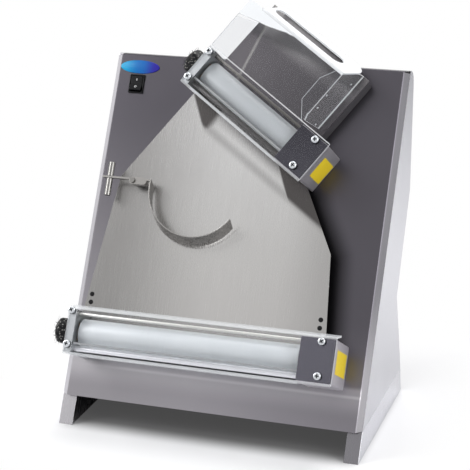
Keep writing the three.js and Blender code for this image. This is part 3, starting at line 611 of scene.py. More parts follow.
def settled(piece, name, place=None):
    """Names a piece, puts it in place and leaves its object at the origin."""
    piece.name = name
    piece.data.name = name
    only(piece)
    if place is not None:
        piece.matrix_world = place @ piece.matrix_world
    bpy.ops.object.transform_apply(location=True, rotation=True, scale=True)
    return piece


def fitted(piece, name, place, finish, node=None, body=BODY):
    """Finishes a piece: its place, its finish unless it has its own, its body and its part."""
    settled(piece, name, place)
    if finish:
        paint(piece, finish)
    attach(piece, body)
    if node:
        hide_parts(node)


def axes_at(origin, *ways):
    """A place whose axes run along three directions."""
    return Matrix.Translation(origin) @ Matrix(ways).transposed().to_4x4()


def unit_place(unit):
    """A roller unit's own axes: x along the rollers, y across them, z out of the panel."""
    sizes = bpy.context.scene.dough_roller_sizes
    joint = JOINTS[f"{unit}_front_roller_spin"]
    along = Vector(joint["axis"])
    origin = Vector(joint["pos_m"]) - OUT * sizes.front_axis_depth
    return axes_at(origin, along, OUT.cross(along), OUT)


def units():
    """Each roller unit's name with its own axes."""
    return [(unit, unit_place(unit)) for unit in UNITS]


def panel_place():
    """The slanted panel's axes, where the panel's plane meets the floor in the middle."""
    origin = unit_place("lower").translation
    foot = Vector((0, origin.y, origin.z)) - UP_SLANT * (origin.z / UP_SLANT.z)
    return axes_at(foot, ACROSS, UP_SLANT, OUT)


def linked(name, data):
    """A new object in the scene, for a mesh, a lamp or a camera."""
    item = bpy.data.objects.new(name, data)
    bpy.context.scene.collection.objects.link(item)
    return item


def copied(node):
    """A merged copy of a part's mesh, for rounding its edges."""
    piece = linked(node, frame["nodes"][node].data.copy())
    with Editing(piece):
        bpy.ops.mesh.select_all(action="SELECT")
        bpy.ops.mesh.remove_doubles(threshold=0.00001)
        bpy.ops.mesh.dissolve_limited(angle_limit=math.radians(0.5))
    return piece


def room(node, place):
    """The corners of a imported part's box along a place's own axes."""
    inside = place.inverted()
    points = [inside @ vertex.co for vertex in frame["nodes"][node].data.vertices]
    return [Vector(pick(point[axis] for point in points) for axis in range(3)) for pick in (min, max)]


def cuboid(low, high):
    """A box between two corners."""
    low, high = Vector(low), Vector(high)
    return settled(primitive("cube", size=1, location=(low + high) / 2, scale=high - low), "box")


def round_bar(radius, start, end, sides, at=(0, 0)):
    """A round bar along x, at y and z."""
    return settled(primitive(
        "cylinder", vertices=sides, radius=radius, depth=end - start,
        location=((start + end) / 2, *at), rotation=(0, math.pi / 2, 0)), "bar")


def post(radius, start, end, sides):
    """A round post along z."""
    return settled(primitive(
        "cylinder", vertices=sides, radius=radius, depth=end - start,
        location=(0, 0, (start + end) / 2)), "post")


def cut_away(piece, tool):
    """Cuts a tool out of a piece and removes the tool."""
    modify(piece, "BOOLEAN", operation="DIFFERENCE", object=tool, solver="EXACT")
    bpy.data.objects.remove(tool)


def merged(piece, other):
    """Joins another piece into the first one."""
    only(piece)
    other.select_set(True)
    bpy.ops.object.join()
    return piece


def twin(piece):
    """A copy of a piece with a mesh of its own."""
    copy = piece.copy()
    copy.data = piece.data.copy()
    bpy.context.scene.collection.objects.link(copy)
    return copy


def bevelled(piece, width, segments, *tests):
    """Rounds the edges that pass all tests."""
    with Editing(piece) as editing:
        if not editing.pick("edges", lambda edge: all(test(edge) for test in tests)):
            raise RuntimeError(f"{piece.name} has no edge to round there")
        bpy.ops.mesh.bevel(offset=width, segments=segments, affect="EDGES", clamp_overlap=True)


def near(value, target):
    return abs(value - target) < 0.0001


def ends_at(axis, value):
    """A test for edges that lie at a value of one axis."""
    return lambda edge: all(near(vertex.co[axis], value) for vertex in edge.verts)


def along_axis(axis):
    """A test for edges that run along one axis."""
    return lambda edge: abs((edge.verts[1].co - edge.verts[0].co).normalized()[axis]) > 0.999


def folded(line, left, right, thickness, outward, radius, finishes, splits=()):
    """A sheet folded along x: a line of (y, z) points, with rounded bends."""
    piece = primitive("plane", size=1)
    paint(piece, *finishes)
    with Editing(piece) as editing:
        editing.pick("verts", lambda vertex: vertex.co.y > 0)
        bpy.ops.mesh.delete(type="VERT")
        editing.pick("verts", lambda vertex: True)
        bpy.ops.transform.resize(value=(right - left, 1, 1))
        bpy.ops.transform.translate(value=((left + right) / 2, line[0][0] + 0.5, line[0][1]))
        editing.pick("edges", lambda edge: True)
        for before, after in zip(line, line[1:]):
            bpy.ops.mesh.extrude_region_move(TRANSFORM_OT_translate={
                "value": (0, after[0] - before[0], after[1] - before[1])})
        for x in splits:
            editing.split((x, 0, 0), (1, 0, 0))
    face_out(piece, outward)
    for before, corner, after in zip(line, line[1:], line[2:]):
        first = Vector(corner) - Vector(before)
        second = Vector(after) - Vector(corner)
        if radius and first.angle(second) > 0.05:
            bevelled(piece, radius * math.tan(first.angle(second) / 2), 6,
                     along_axis(0), ends_at(1, corner[0]), ends_at(2, corner[1]))
    return thickened(piece, thickness) if thickness else piece


def mark_bends(piece, line):
    """Gives a folded sheet's bends its second finish, which on the clear sheets is a painted highlight."""
    ways = [Vector((0, before[1] - after[1], after[0] - before[0])).normalized()
            for before, after in zip(line, line[1:])]
    repaint(piece, 1, lambda face: face.material_index == 0 and abs(face.normal.x) < 0.3
            and all(abs(face.normal.dot(way)) < 0.9992 for way in ways))


def face_out(piece, outward):
    """Turns an open sheet so that its first face looks outward."""
    if piece.data.polygons[0].normal.dot(Vector(outward)) < 0:
        with Editing(piece):
            bpy.ops.mesh.select_all(action="SELECT")
            bpy.ops.mesh.flip_normals()


def thickened(piece, thickness):
    """Gives a sheet its thickness behind its face; its rim takes the last finish."""
    modify(piece, "SOLIDIFY", thickness=thickness, offset=-1, use_even_offset=True,
           material_offset_rim=len(piece.data.materials) - 1)
    return piece


def flat(outline, finishes):
    """A flat convex sheet in x and y, cut out of a square."""
    piece = primitive("plane", size=2)
    paint(piece, *finishes)
    corners = [Vector((*point, 0)) for point in outline]
    middle = sum(corners, Vector()) / len(corners)
    with Editing(piece) as editing:
        for start, end in zip(corners, corners[1:] + corners[:1]):
            away = (end - start).cross(Vector((0, 0, 1)))
            if away.dot(start - middle) < 0:
                away.negate()
            editing.split(start, away, True)
    return piece


def soft_edges(piece, width, segments=2, limit=40):
    """Rounds a finished piece's sharp edges a little and smooths its curves."""
    modify(piece, "BEVEL", width=width, segments=segments, limit_method="ANGLE",
           angle_limit=math.radians(limit), use_clamp_overlap=True, harden_normals=False)
    smoothed(piece)
    modify(piece, "WEIGHTED_NORMAL", keep_sharp=True, weight=80)


def placed(piece, name, places, finish):
    """Puts numbered copies of a piece in several places and removes the piece itself."""
    for index, place in enumerate(places):
        fitted(twin(piece), f"{name}_{index + 1}", place, finish)
    bpy.data.objects.remove(piece)


def rounded_copy(node, finish, width, segments=2, limit=25, body=BODY):
    """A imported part's own mesh, merged, with its sharp edges rounded."""
    piece = copied(node)
    soft_edges(piece, width, segments, limit)
    fitted(piece, f"{node}_sheet", None, finish, node, body)


class DOUGHROLLER_OT_finishes(bpy.types.Operator):
    """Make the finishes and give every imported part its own"""
    bl_idname = "dough_roller.finishes"
    bl_label = "Finishes"

    SLOTS = {
        "body_steel": "body_steel", "plate_steel": "plate_steel", "dark_steel": "tray_steel",
        "cast_aluminium": "aluminium", "polished_steel": "polished_steel", "bronze": "bronze",
        "roller_plastic": "roller", "gear_metal": "gear", "motor_metal": "motor",
        "black_plastic": "black", "clear_sheet": "clear",
    }

    def execute(self, context):
        make_finishes(context.scene.dough_roller_colours)
        for subpart in frame["record"]["subparts"]:
            paint(frame["nodes"][subpart["node"]], self.SLOTS[subpart["material_slot"]])
        return {"FINISHED"}


class DOUGHROLLER_OT_body(bpy.types.Operator):
    """Round the edges of the shell, the cover, the pan and the feet"""
    bl_idname = "dough_roller.body"
    bl_label = "Body sheets"

    def execute(self, context):
        rounded_copy("body_shell", "body_steel", 0.00025, limit=15)
        for node in ("rear_cover", "base_pan", "slide_plate_left_rail", "slide_plate_right_rail",
                     "chute_bracket"):
            rounded_copy(node, "body_steel", 0.0006, limit=15)
        for node in ("left_foot_rail", "right_foot_rail"):
            rounded_copy(node, "foot_steel", 0.0010, limit=15)
        return {"FINISHED"}


class DOUGHROLLER_OT_foot_pads(bpy.types.Operator):
    """Add a thin rubber pad under each foot"""
    bl_idname = "dough_roller.foot_pads"
    bl_label = "Foot pads"

    def execute(self, context):
        for side in ("left", "right"):
            low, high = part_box(f"{side}_foot_rail")
            pad = cuboid((low.x + 0.001, low.y + 0.0035, 0.0), (high.x - 0.001, high.y - 0.006, 0.0019))
            soft_edges(pad, 0.0005)
            fitted(pad, f"{side}_foot_pad", None, "rubber")
        return {"FINISHED"}


class DOUGHROLLER_OT_louvres(bpy.types.Operator):
    """Add a slanted louvre behind each slot of the rear cover"""
    bl_idname = "dough_roller.louvres"
    bl_label = "Louvres"
    COUNT, PITCH, HALF, TOP = 6, 0.018, 0.047, 0.470

    def execute(self, context):
        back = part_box("rear_cover")[1].y
        for index in range(self.COUNT):
            height = self.TOP - index * self.PITCH
            line = [(back - 0.0025, height + 0.003), (back - 0.0075, height - 0.001),
                    (back - 0.0110, height - 0.011)]
            louvre = folded(line, -self.HALF, self.HALF, 0.0010, (0, 1, 0), 0.002, ("body_steel",))
            soft_edges(louvre, 0.0002)
            fitted(louvre, f"louvre_{index + 1}", None, "body_steel")
        return {"FINISHED"}


class DOUGHROLLER_OT_slide_plate(bpy.types.Operator):
    """Round the cut edges of the slide plate and plug its four holes"""
    bl_idname = "dough_roller.slide_plate"
    bl_label = "Slide plate"
    FOOT, HIP, SHOULDER = Vector((0.1815, 0.190, 0)), Vector((0.1705, 0.319, 0)), Vector((0.1188, 0.4202, 0))
    PLUGS = ((-0.2130, 0.2025), (-0.2130, 0.2155), (0.1693, 0.2025), (0.1693, 0.2155))
    PLUG_RADIUS, PLUG_HEIGHT = 0.0038, 0.0007

    def execute(self, context):
        rounded_copy("slide_plate", "slide_steel", 0.0004)
        place = panel_place()
        face = room("slide_plate", place)[1].z
        plug = post(self.PLUG_RADIUS, -0.0002, self.PLUG_HEIGHT, 32)
        bevelled(plug, 0.0004, 3, ends_at(2, self.PLUG_HEIGHT))
        smoothed(plug)
        places = [place @ Matrix.Translation((*spot, face)) for spot in self.PLUGS]
        placed(plug, "slide_plate_plug", places, "rubber")
        return {"FINISHED"}


class DOUGHROLLER_OT_frames(bpy.types.Operator):
    """Dress the brackets, drive plates, housings and cover plates of both units"""
    bl_idname = "dough_roller.frames"
    bl_label = "Unit frames"

    def execute(self, context):
        for unit, place in units():
            rounded_copy(f"{unit}_left_bracket", "aluminium", 0.0008, 3)
            rounded_copy(f"{unit}_drive_plate", "plate_steel", 0.0004)
            rounded_copy(f"{unit}_scraper", "scraper", 0.0004)
            low, high = room(f"{unit}_drive_housing", place)
            line = [(low.y, -low.x), (low.y, -high.x), (high.y, -high.x), (high.y, -low.x)]
            housing = folded(line, low.z, high.z, 0.002, (0, -1, 0), 0.003, ("housing_steel",))
            soft_edges(housing, 0.0003)
            fitted(housing, f"{unit}_drive_housing_sheet", place @ Matrix.Rotation(-math.pi / 2, 4, "Y"),
                   "housing_steel", f"{unit}_drive_housing")
            cover = cuboid(*room(f"{unit}_cover_plate", place))
            bevelled(cover, 0.0012, 3, along_axis(2))
            soft_edges(cover, 0.0003)
            fitted(cover, f"{unit}_cover_plate_sheet", place, "cover_steel",
                   f"{unit}_cover_plate")
        return {"FINISHED"}


class DOUGHROLLER_OT_rollers(bpy.types.Operator):
    """Turn the four white rollers with chamfered and counterbored ends"""
    bl_idname = "dough_roller.rollers"
    bl_label = "Rollers"
    CHAMFER, WALL, SINK = 0.0012, 0.008, 0.003

    def execute(self, context):
        sizes = context.scene.dough_roller_sizes
        for unit, place in units():
            for end in ("front", "rear"):
                node = f"{unit}_{end}_roller"
                low, high = room(node, place)
                middle = (low + high) / 2
                roller = round_bar(sizes.roller_radius, low.x, high.x, 96, (middle.y, middle.z))
                for x in (low.x, high.x):
                    bevelled(roller, self.CHAMFER, 3, ends_at(0, x))
                    with Editing(roller) as editing:
                        editing.pick("faces", lambda face: abs(face.normal.x) > 0.99
                                     and near(face.calc_center_median().x, x))
                        bpy.ops.mesh.inset(thickness=self.WALL)
                        bpy.ops.transform.translate(value=(self.SINK if x == low.x else -self.SINK, 0, 0))
                smoothed(roller)
                fitted(roller, f"{node}_sleeve", place, "roller", node,
                       f"{unit}_{end}_roller_set")
        return {"FINISHED"}


class DOUGHROLLER_OT_bars(bpy.types.Operator):
    """Turn the polished bars above and below the rollers"""
    bl_idname = "dough_roller.bars"
    bl_label = "Bars"

    def execute(self, context):
        for unit, place in units():
            for name in ("tie_bar", "finger_bar"):
                low, high = room(f"{unit}_{name}", place)
                middle = (low + high) / 2
                radius = (high.z - low.z) / 2
                bar = round_bar(radius, low.x, high.x, 48, (middle.y, middle.z))
                for x in (low.x, high.x):
                    bevelled(bar, radius * 0.2, 2, ends_at(0, x))
                smoothed(bar)
                finish = "thin_steel" if name == "finger_bar" else "polished_steel"
                fitted(bar, f"{unit}_{name}_rod", place, finish, f"{unit}_{name}")
        return {"FINISHED"}


class DOUGHROLLER_OT_guards(bpy.types.Operator):
    """Fold the clear guard in front of each pair of rollers"""
    bl_idname = "dough_roller.guards"
    bl_label = "Roller guards"
    RIM, GAP, SPARE, RETURN_HEIGHT = 0.0016, 0.0003, 0.01, 0.006

    def highlight_rim(self, guard, top):
        """Gives the polished top edge of a guard its milky finish, a painted highlight along the rim."""
        with Editing(guard) as editing:
            editing.split((0, top - self.RIM, 0), (0, 1, 0))
        repaint(guard, 2, lambda face: face.center.y > top - self.RIM and face.normal.z > 0.5)

    def execute(self, context):
        sizes = context.scene.dough_roller_sizes
        for unit, place in units():
            low, high = room(f"{unit}_roller_guard", place)
            top, bottom, face = sizes.guard_top, -sizes.guard_bottom, sizes.unit_depth
            lip = face - sizes.guard_return
            line = [(bottom, lip), (bottom, face), (top, face)]
            if high.y > top + 0.001:
                line.append((high.y, low.z))
            guard = folded(line, low.x, high.x, sizes.sheet, (0, -1, 0), 0.004, CLEAR)
            mark_bends(guard, line)
            reach = face - sizes.sheet
            for start, end in ((low.x - self.SPARE, low.x + sizes.bracket_thickness + self.GAP),
                               (high.x - sizes.drive_width - self.GAP, high.x + self.SPARE)):
                cut_away(guard, cuboid((start, bottom - self.SPARE, lip - self.SPARE),
                                       (end, bottom + self.RETURN_HEIGHT, reach)))
            if len(line) == 3:
                self.highlight_rim(guard, top)
            soft_edges(guard, 0.0003, 1, 50)
            fitted(guard, f"{unit}_roller_guard_sheet", place, None, f"{unit}_roller_guard")
        return {"FINISHED"}


class DOUGHROLLER_OT_hood(bpy.types.Operator):
    """Fold the slotted hood over the feed tray, with its two walls and riveted tab"""
    bl_idname = "dough_roller.hood"
    bl_label = "Feed hood"
    LEFT, RIGHT, BOTTOM, TOP = -0.13035, 0.071, 0.037, 0.1335
    SEAT, PLATE = 0.0337, 0.0303
    TILT, DEPTH, CORNER = math.radians(27.2), 0.068, 0.026
    SHOULDER = -0.102
    CORNER_LINE = ((0.0004, 0.0545), (0.0018, 0.0510), (0.0036, 0.0475), (0.0058, 0.0440), (0.0080, 0.0400))
    REAR_SEAT = 0.0465
    TAB = ((0.0590, 0.1325), (0.0450, 0.1058), (0.0453, 0.0630), (0.0650, 0.0400))
    SLOT = (-0.096, 0.048, 0.020, 0.048)
    RIVETS = ((0.0439, 0.1315), (0.0072, 0.0914), (0.0108, 0.0676), (0.0415, 0.0477))
    RIVET_RADIUS, RIVET_HEIGHT = 0.0018, 0.0010
    # Slope and end of the painted highlight along the hood's bend.
    HAZE_SLOPE, HAZE_END = 0.27, -0.015
    LEFT_FLARE, RIGHT_FLARE = math.radians(10.8), math.radians(8.6)

    def flange_turn(self, face):
        """Axes of the flange: x across, y up its slope from the bend, z out of it."""
        slope = Matrix.Rotation(self.TILT - math.pi / 2, 4, "X")
        return Matrix.Translation((0, self.TOP, face)) @ slope

    def front(self, face, thickness):
        rise, back = self.DEPTH * math.sin(self.TILT), self.DEPTH * math.cos(self.TILT)
        line = [(self.BOTTOM, face), (self.TOP, face), (self.TOP + rise, face - back)]
        finishes = ("clear_hood", "clear_edge", "clear_edge")
        sheet = folded(line, self.LEFT, self.RIGHT, 0, (0, 0, 1), 0, finishes, (self.SHOULDER,))
        flare = back * math.tan(self.RIGHT_FLARE)
        over, shoulder = self.TOP + 0.001, self.SHOULDER - 0.001
        with Editing(sheet) as editing:
            editing.pick("verts", lambda vertex: vertex.co.y > over and vertex.co.x < shoulder)
            bpy.ops.mesh.delete(type="VERT")
            editing.pick("verts", lambda vertex: vertex.co.y > over and vertex.co.x > 0)
            bpy.ops.transform.translate(value=(flare, 0, 0))
            editing.pick("verts", lambda vertex: vertex.co.y > over)
            bpy.ops.mesh.bevel(offset=self.CORNER, segments=8, affect="VERTICES")
        bend = 0.006 * math.tan((math.pi / 2 - self.TILT) / 2)
        bevelled(sheet, bend, 6, ends_at(1, self.TOP), ends_at(2, face),
                 lambda edge: max(vertex.co.x for vertex in edge.verts) > self.SHOULDER + 0.001)
        thickened(sheet, thickness)
        mark_bends(sheet, line)
        low, high, near_edge, far_edge = self.SLOT
        slot = cuboid((low, near_edge, -0.02), (high, far_edge, 0.02))
        bevelled(slot, (far_edge - near_edge) * 0.499, 10, along_axis(2))
        settled(slot, "slot", self.flange_turn(face))
        cut_away(sheet, slot)
        foot = self.CORNER_LINE[1][1]
        with Editing(sheet) as editing:
            editing.split((0, foot, 0), (0, 1, 0))
        repaint(sheet, 0, lambda part: part.normal.x > 0.9 and part.center.y < foot)
        return sheet

    def wall(self, outline, flare, x, face, thickness):
        """A side wall, turned out by its flare."""
        turn = Matrix.Rotation(-flare, 4, "Y") @ Matrix.Rotation(math.pi / 2, 4, "Y")
        return self.sheet(outline, thickness, Matrix.Translation((x, 0, face)) @ turn, 2)

    def sheet(self, outline, thickness, place, axis):
        """A flat clear sheet in its place. Its rim stays clear on the side that looks along an axis."""
        sheet = flat(outline, CLEAR)
        face_out(sheet, (0, 0, 1))
        settled(thickened(sheet, thickness), "sheet", place)
        repaint(sheet, 0, lambda face: face.normal[axis] > 0.9 and face.material_index == 2)
        return sheet

    def execute(self, context):
        sizes = context.scene.dough_roller_sizes
        place, face, thickness = unit_place("upper"), sizes.unit_depth, sizes.sheet
        reach = {flare: (face - self.PLATE - thickness * math.sin(flare)) / math.cos(flare)
                 for flare in (self.LEFT_FLARE, self.RIGHT_FLARE)}
        deep = reach[self.RIGHT_FLARE]
        right = self.wall([*self.CORNER_LINE, (deep, self.REAR_SEAT), (deep, 0.1560), (0.0335, 0.1500),
                           (0.0004, self.TOP)], self.RIGHT_FLARE, self.RIGHT, face, thickness)
        deep = reach[self.LEFT_FLARE]
        left = self.wall([(thickness, self.SEAT), (deep, self.SEAT), (deep, 0.116), (0.0004, 0.098),
                          (0.0004, self.BOTTOM)], self.LEFT_FLARE, self.LEFT + thickness, face, thickness)
        inner = self.RIGHT - thickness
        tab = self.sheet([(inner, 0.0400), (inner, 0.1325), *self.TAB], thickness,
                         Matrix.Translation((0, 0, face - thickness)), 0)
        pieces = {"front": self.front(face, thickness), "right_wall": right, "left_wall": left, "tab": tab}
        for name, piece in pieces.items():
            soft_edges(piece, 0.0003, 1, 50)
            node = "feed_guard" if name == "front" else None
            fitted(piece, f"feed_guard_{name}", place, None, node)
        self.rivets(place, face)
        return {"FINISHED"}

    def rivets(self, place, face):
        wall = Matrix.Translation((self.RIGHT, 0, face)) @ Matrix.Rotation(-self.RIGHT_FLARE, 4, "Y")
        rivet = round_bar(self.RIVET_RADIUS, 0, self.RIVET_HEIGHT, 32)
        bevelled(rivet, 0.0006, 3, ends_at(0, self.RIVET_HEIGHT))
        smoothed(rivet)
        places = [place @ wall @ Matrix.Translation((0, height, -depth)) for depth, height in self.RIVETS]
        placed(rivet, "feed_guard_rivet", places, "zinc")


class DOUGHROLLER_OT_screws(bpy.types.Operator):
    """Screw the guards to their brackets"""
    bl_idname = "dough_roller.screws"
    bl_label = "Guard screws"
    PLACES = {
        "lower": ((0.0045, 0.0312), (0.0051, -0.0229), (-0.0227, 0.0273), (-0.0224, -0.0254)),
        "upper": ((0.0050, 0.0262), (0.0055, -0.0262), (-0.0229, 0.0272), (-0.0228, -0.0250)),
    }
    FIRST_TURN, NEXT_TURN = 0.45, 0.9
    # Shares of the head's height or radius: its rounding, and the recess's floor, arm and half width.
    ROUNDING, FLOOR, ARM, HALF = 0.62, 0.35, 0.54, 0.16

    def pan_head(self, radius, height):
        """A pan head with a dark cross recess, standing on z = 0."""
        head = post(radius, 0, height, 40)
        bevelled(head, height * self.ROUNDING, 5, ends_at(2, height))
        arm, half = radius * self.ARM, radius * self.HALF
        for x, y in ((arm, half), (half, arm)):
            cut_away(head, cuboid((-x, -y, height * self.FLOOR), (x, y, height * 2)))
        smoothed(head)
        paint(head, "zinc", "recess")
        repaint(head, 1, lambda face: math.hypot(*face.center.xy) < radius * 0.6
                and face.center.z < height * 0.99 and not 0.3 <= abs(face.normal.z) <= 0.99)
        return head

    def execute(self, context):
        sizes = context.scene.dough_roller_sizes
        for unit, place in units():
            low, high = room(f"{unit}_roller_guard", place)
            places = [place @ Matrix.Translation((low.x + x if x > 0 else high.x + x, y, sizes.unit_depth))
                      @ Matrix.Rotation(self.FIRST_TURN + self.NEXT_TURN * index, 4, "Z")
                      for index, (x, y) in enumerate(self.PLACES[unit])]
            head = self.pan_head(sizes.screw_radius, sizes.screw_height)
            placed(head, f"{unit}_guard_screw", places, None)
        return {"FINISHED"}


class DOUGHROLLER_OT_chute(bpy.types.Operator):
    """Dress the feed tray and fold its left wing"""
    bl_idname = "dough_roller.chute"
    bl_label = "Feed tray"

    FOLD_LOW, FOLD_HIGH = Vector((-0.0867, 0.0425, 0)), Vector((-0.1055, 0.1187, 0))
    FOLD = math.radians(13)
    LIP, SKIRT_START = 0.008, 0.0385

    def execute(self, context):
        place = unit_place("upper")
        tray = settled(copied("feed_chute"), "tray", place.inverted())
        face = max(vertex.co.z for vertex in tray.data.vertices)
        way = (self.FOLD_HIGH - self.FOLD_LOW).normalized()
        left = way.cross(Vector((0, 0, -1)))
        low = self.FOLD_LOW + Vector((0, 0, face))
        with Editing(tray) as editing:
            editing.split(low, left)
        level = Matrix.Rotation(-math.atan2(way.y, way.x), 4, "Z") @ Matrix.Translation(-low)
        settled(tray, "tray", level)
        with Editing(tray) as editing:
            editing.pick("verts", lambda vertex: vertex.co.y > 0.0001)
            bpy.ops.transform.rotate(value=-self.FOLD, orient_axis="X", center_override=(0, 0, 0))
        bevelled(tray, 0.0012, 4, along_axis(0), ends_at(1, 0))
        settled(tray, "tray", level.inverted())
        soft_edges(tray, 0.0004)
        fitted(tray, "feed_chute_sheet", place, "tray_steel", "feed_chute")
        self.skirt(place)
        return {"FINISHED"}

    def skirt(self, place):
        """A folded sheet between the tray's right edge and the panel."""
        low, high = room("feed_chute", place)
        edge, under, foot = 0.0002 - high.x, low.z - 0.0001, 0.0004
        line = [(edge + self.LIP, under), (edge, under), (edge, foot), (edge + self.LIP, foot)]
        skirt = folded(line, self.SKIRT_START, high.y - 0.002, 0.0012, (0, 0, 1), 0.0015, ("skirt",))
        soft_edges(skirt, 0.0002)
        fitted(skirt, "feed_chute_skirt", place @ Matrix.Rotation(math.pi / 2, 4, "Z"), "skirt")


class DOUGHROLLER_OT_knobs(bpy.types.Operator):
    """Mould the two lobed thickness knobs"""
    bl_idname = "dough_roller.knobs"
    bl_label = "Thickness knobs"
    FLUTE_SHARES = (0.93, 0.943, 0.97, 0.993)
    LOBE_STEP = 5.625
    FACE_ROUND, BACK_ROUND, DISH = 0.0080, 0.0020, 0.0008

    def step_of(self, spoke):
        """Which of the eight steps of a lobe a vertex stands on."""
        return round(math.degrees(math.atan2(spoke.y, spoke.z)) / self.LOBE_STEP) % 8

    def execute(self, context):
        for unit, place in units():
            low, high = room(f"{unit}_thickness_knob", place)
            centre = Vector((0, (low.y + high.y) / 2, (low.z + high.z) / 2))
            radius = (high.y - low.y) / 2
            grip_end = low.x + context.scene.dough_roller_sizes.knob_reach - 0.002
            grip = round_bar(radius, low.x, grip_end, 64, (centre.y, centre.z))
            with Editing(grip) as editing:
                for step, share in enumerate(self.FLUTE_SHARES):
                    editing.pick("verts", lambda vertex: self.step_of(vertex.co - centre) in (step, 8 - step))
                    bpy.ops.transform.resize(value=(1, share, share), center_override=centre)
            bevelled(grip, self.FACE_ROUND, 8, ends_at(0, low.x))
            bevelled(grip, self.BACK_ROUND, 3, ends_at(0, grip_end))
            with Editing(grip) as editing:
                editing.pick("faces", lambda face: face.normal.x < -0.99 and len(face.verts) > 8)
                bpy.ops.mesh.inset(thickness=radius * 0.12)
                bpy.ops.mesh.inset(thickness=radius * 0.06)
                bpy.ops.transform.translate(value=(self.DISH, 0, 0))
            smoothed(grip, 40)
            spindle = round_bar(0.005, grip_end - 0.001, high.x, 32, (centre.y, centre.z))
            fitted(merged(grip, spindle), f"{unit}_knob_grip", place, "grip",
                   f"{unit}_thickness_knob", f"{unit}_knob")
        return {"FINISHED"}


class DOUGHROLLER_OT_turner(bpy.types.Operator):
    """Dress the dough turner: its pivot, arm, blade and balance rod"""
    bl_idname = "dough_roller.turner"
    bl_label = "Dough turner"

    def execute(self, context):
        rounded_copy("turner_pivot", "rod_steel", 0.0004)
        for node in ("turner_arm", "turner_blade", "turner_weight"):
            finish = "rod_steel" if node == "turner_weight" else "turner_steel"
            rounded_copy(node, finish, 0.0004, limit=30, body="turner")
        return {"FINISHED"}


class DOUGHROLLER_OT_switch(bpy.types.Operator):
    """Dress the rocker switch and mark its two ends"""
    bl_idname = "dough_roller.switch"
    bl_label = "Rocker switch"
    RING, LINE, BOTTOM, TOP = (0.0019, 0.0012), (0.00045, 0.0021), -0.0001, 0.0002

    def execute(self, context):
        rounded_copy("switch_housing", "black", 0.0008, 3, 40)
        rounded_copy("switch_rocker", "black", 0.0010, 3, 12, body="rocker")
        plain = copied("switch_rocker")
        faces = sorted((face for face in plain.data.polygons if face.normal.dot(OUT) > 0.8),
                       key=lambda face: face.center.z)
        places = [axes_at(face.center, ACROSS, face.normal.cross(ACROSS), face.normal)
                  for face in (faces[0], faces[-1])]
        bpy.data.objects.remove(plain)
        ring = post(self.RING[0], self.BOTTOM, self.TOP, 32)
        cut_away(ring, post(self.RING[1], -0.001, 0.001, 32))
        line = cuboid((-self.LINE[0], -self.LINE[1], self.BOTTOM), (*self.LINE, self.TOP))
        bevelled(line, 0.0003, 3, along_axis(2))
        for mark, name, place in zip((ring, line), ("ring", "line"), places):
            fitted(mark, f"rocker_{name}_mark", place, "mark", body="rocker")
        return {"FINISHED"}


class DOUGHROLLER_OT_name_plate(bpy.types.Operator):
    """Add a blank oval plate above the switch"""
    bl_idname = "dough_roller.name_plate"
    bl_label = "Blank name plate"
    PLACE, HALF, TOP = (-0.2055, 0.608), (0.0345, 0.0115), 0.0013

    def execute(self, context):
        plate = post(1, 0.0001, self.TOP, 72)
        with Editing(plate):
            bpy.ops.mesh.select_all(action="SELECT")
            bpy.ops.transform.resize(value=(*self.HALF, 1), center_override=(0, 0, 0))
        bevelled(plate, 0.0008, 4, ends_at(2, self.TOP))
        smoothed(plate, 60)
        spot = panel_place() @ Matrix.Translation((*self.PLACE, 0))
        fitted(plate, "blank_name_plate", spot, "name_plate")
        return {"FINISHED"}


class DOUGHROLLER_OT_labels(bpy.types.Operator):
    """Stick a blank yellow label on the end of each gear housing"""
    bl_idname = "dough_roller.labels"
    bl_label = "Blank labels"
    PLACES = {"lower": (-0.018, 0.019, 0.008, 0.074), "upper": (-0.020, 0.017, 0.004, 0.064)}

    def execute(self, context):
        for unit, place in units():
            side = room(f"{unit}_drive_housing", place)[1].x
            bottom, top, back, front = self.PLACES[unit]
            label = cuboid((side + 0.00002, bottom, back), (side + 0.00022, top, front))
            bevelled(label, 0.0020, 4, along_axis(0))
            smoothed(label)
            fitted(label, f"{unit}_blank_label", place, "label")
        return {"FINISHED"}


class DOUGHROLLER_OT_gland(bpy.types.Operator):
    """Dress the cable gland on the lower back"""
    bl_idname = "dough_roller.gland"
    bl_label = "Cable gland"

    def execute(self, context):
        rounded_copy("cable_gland", "black", 0.0008, 3, 25)
        return {"FINISHED"}


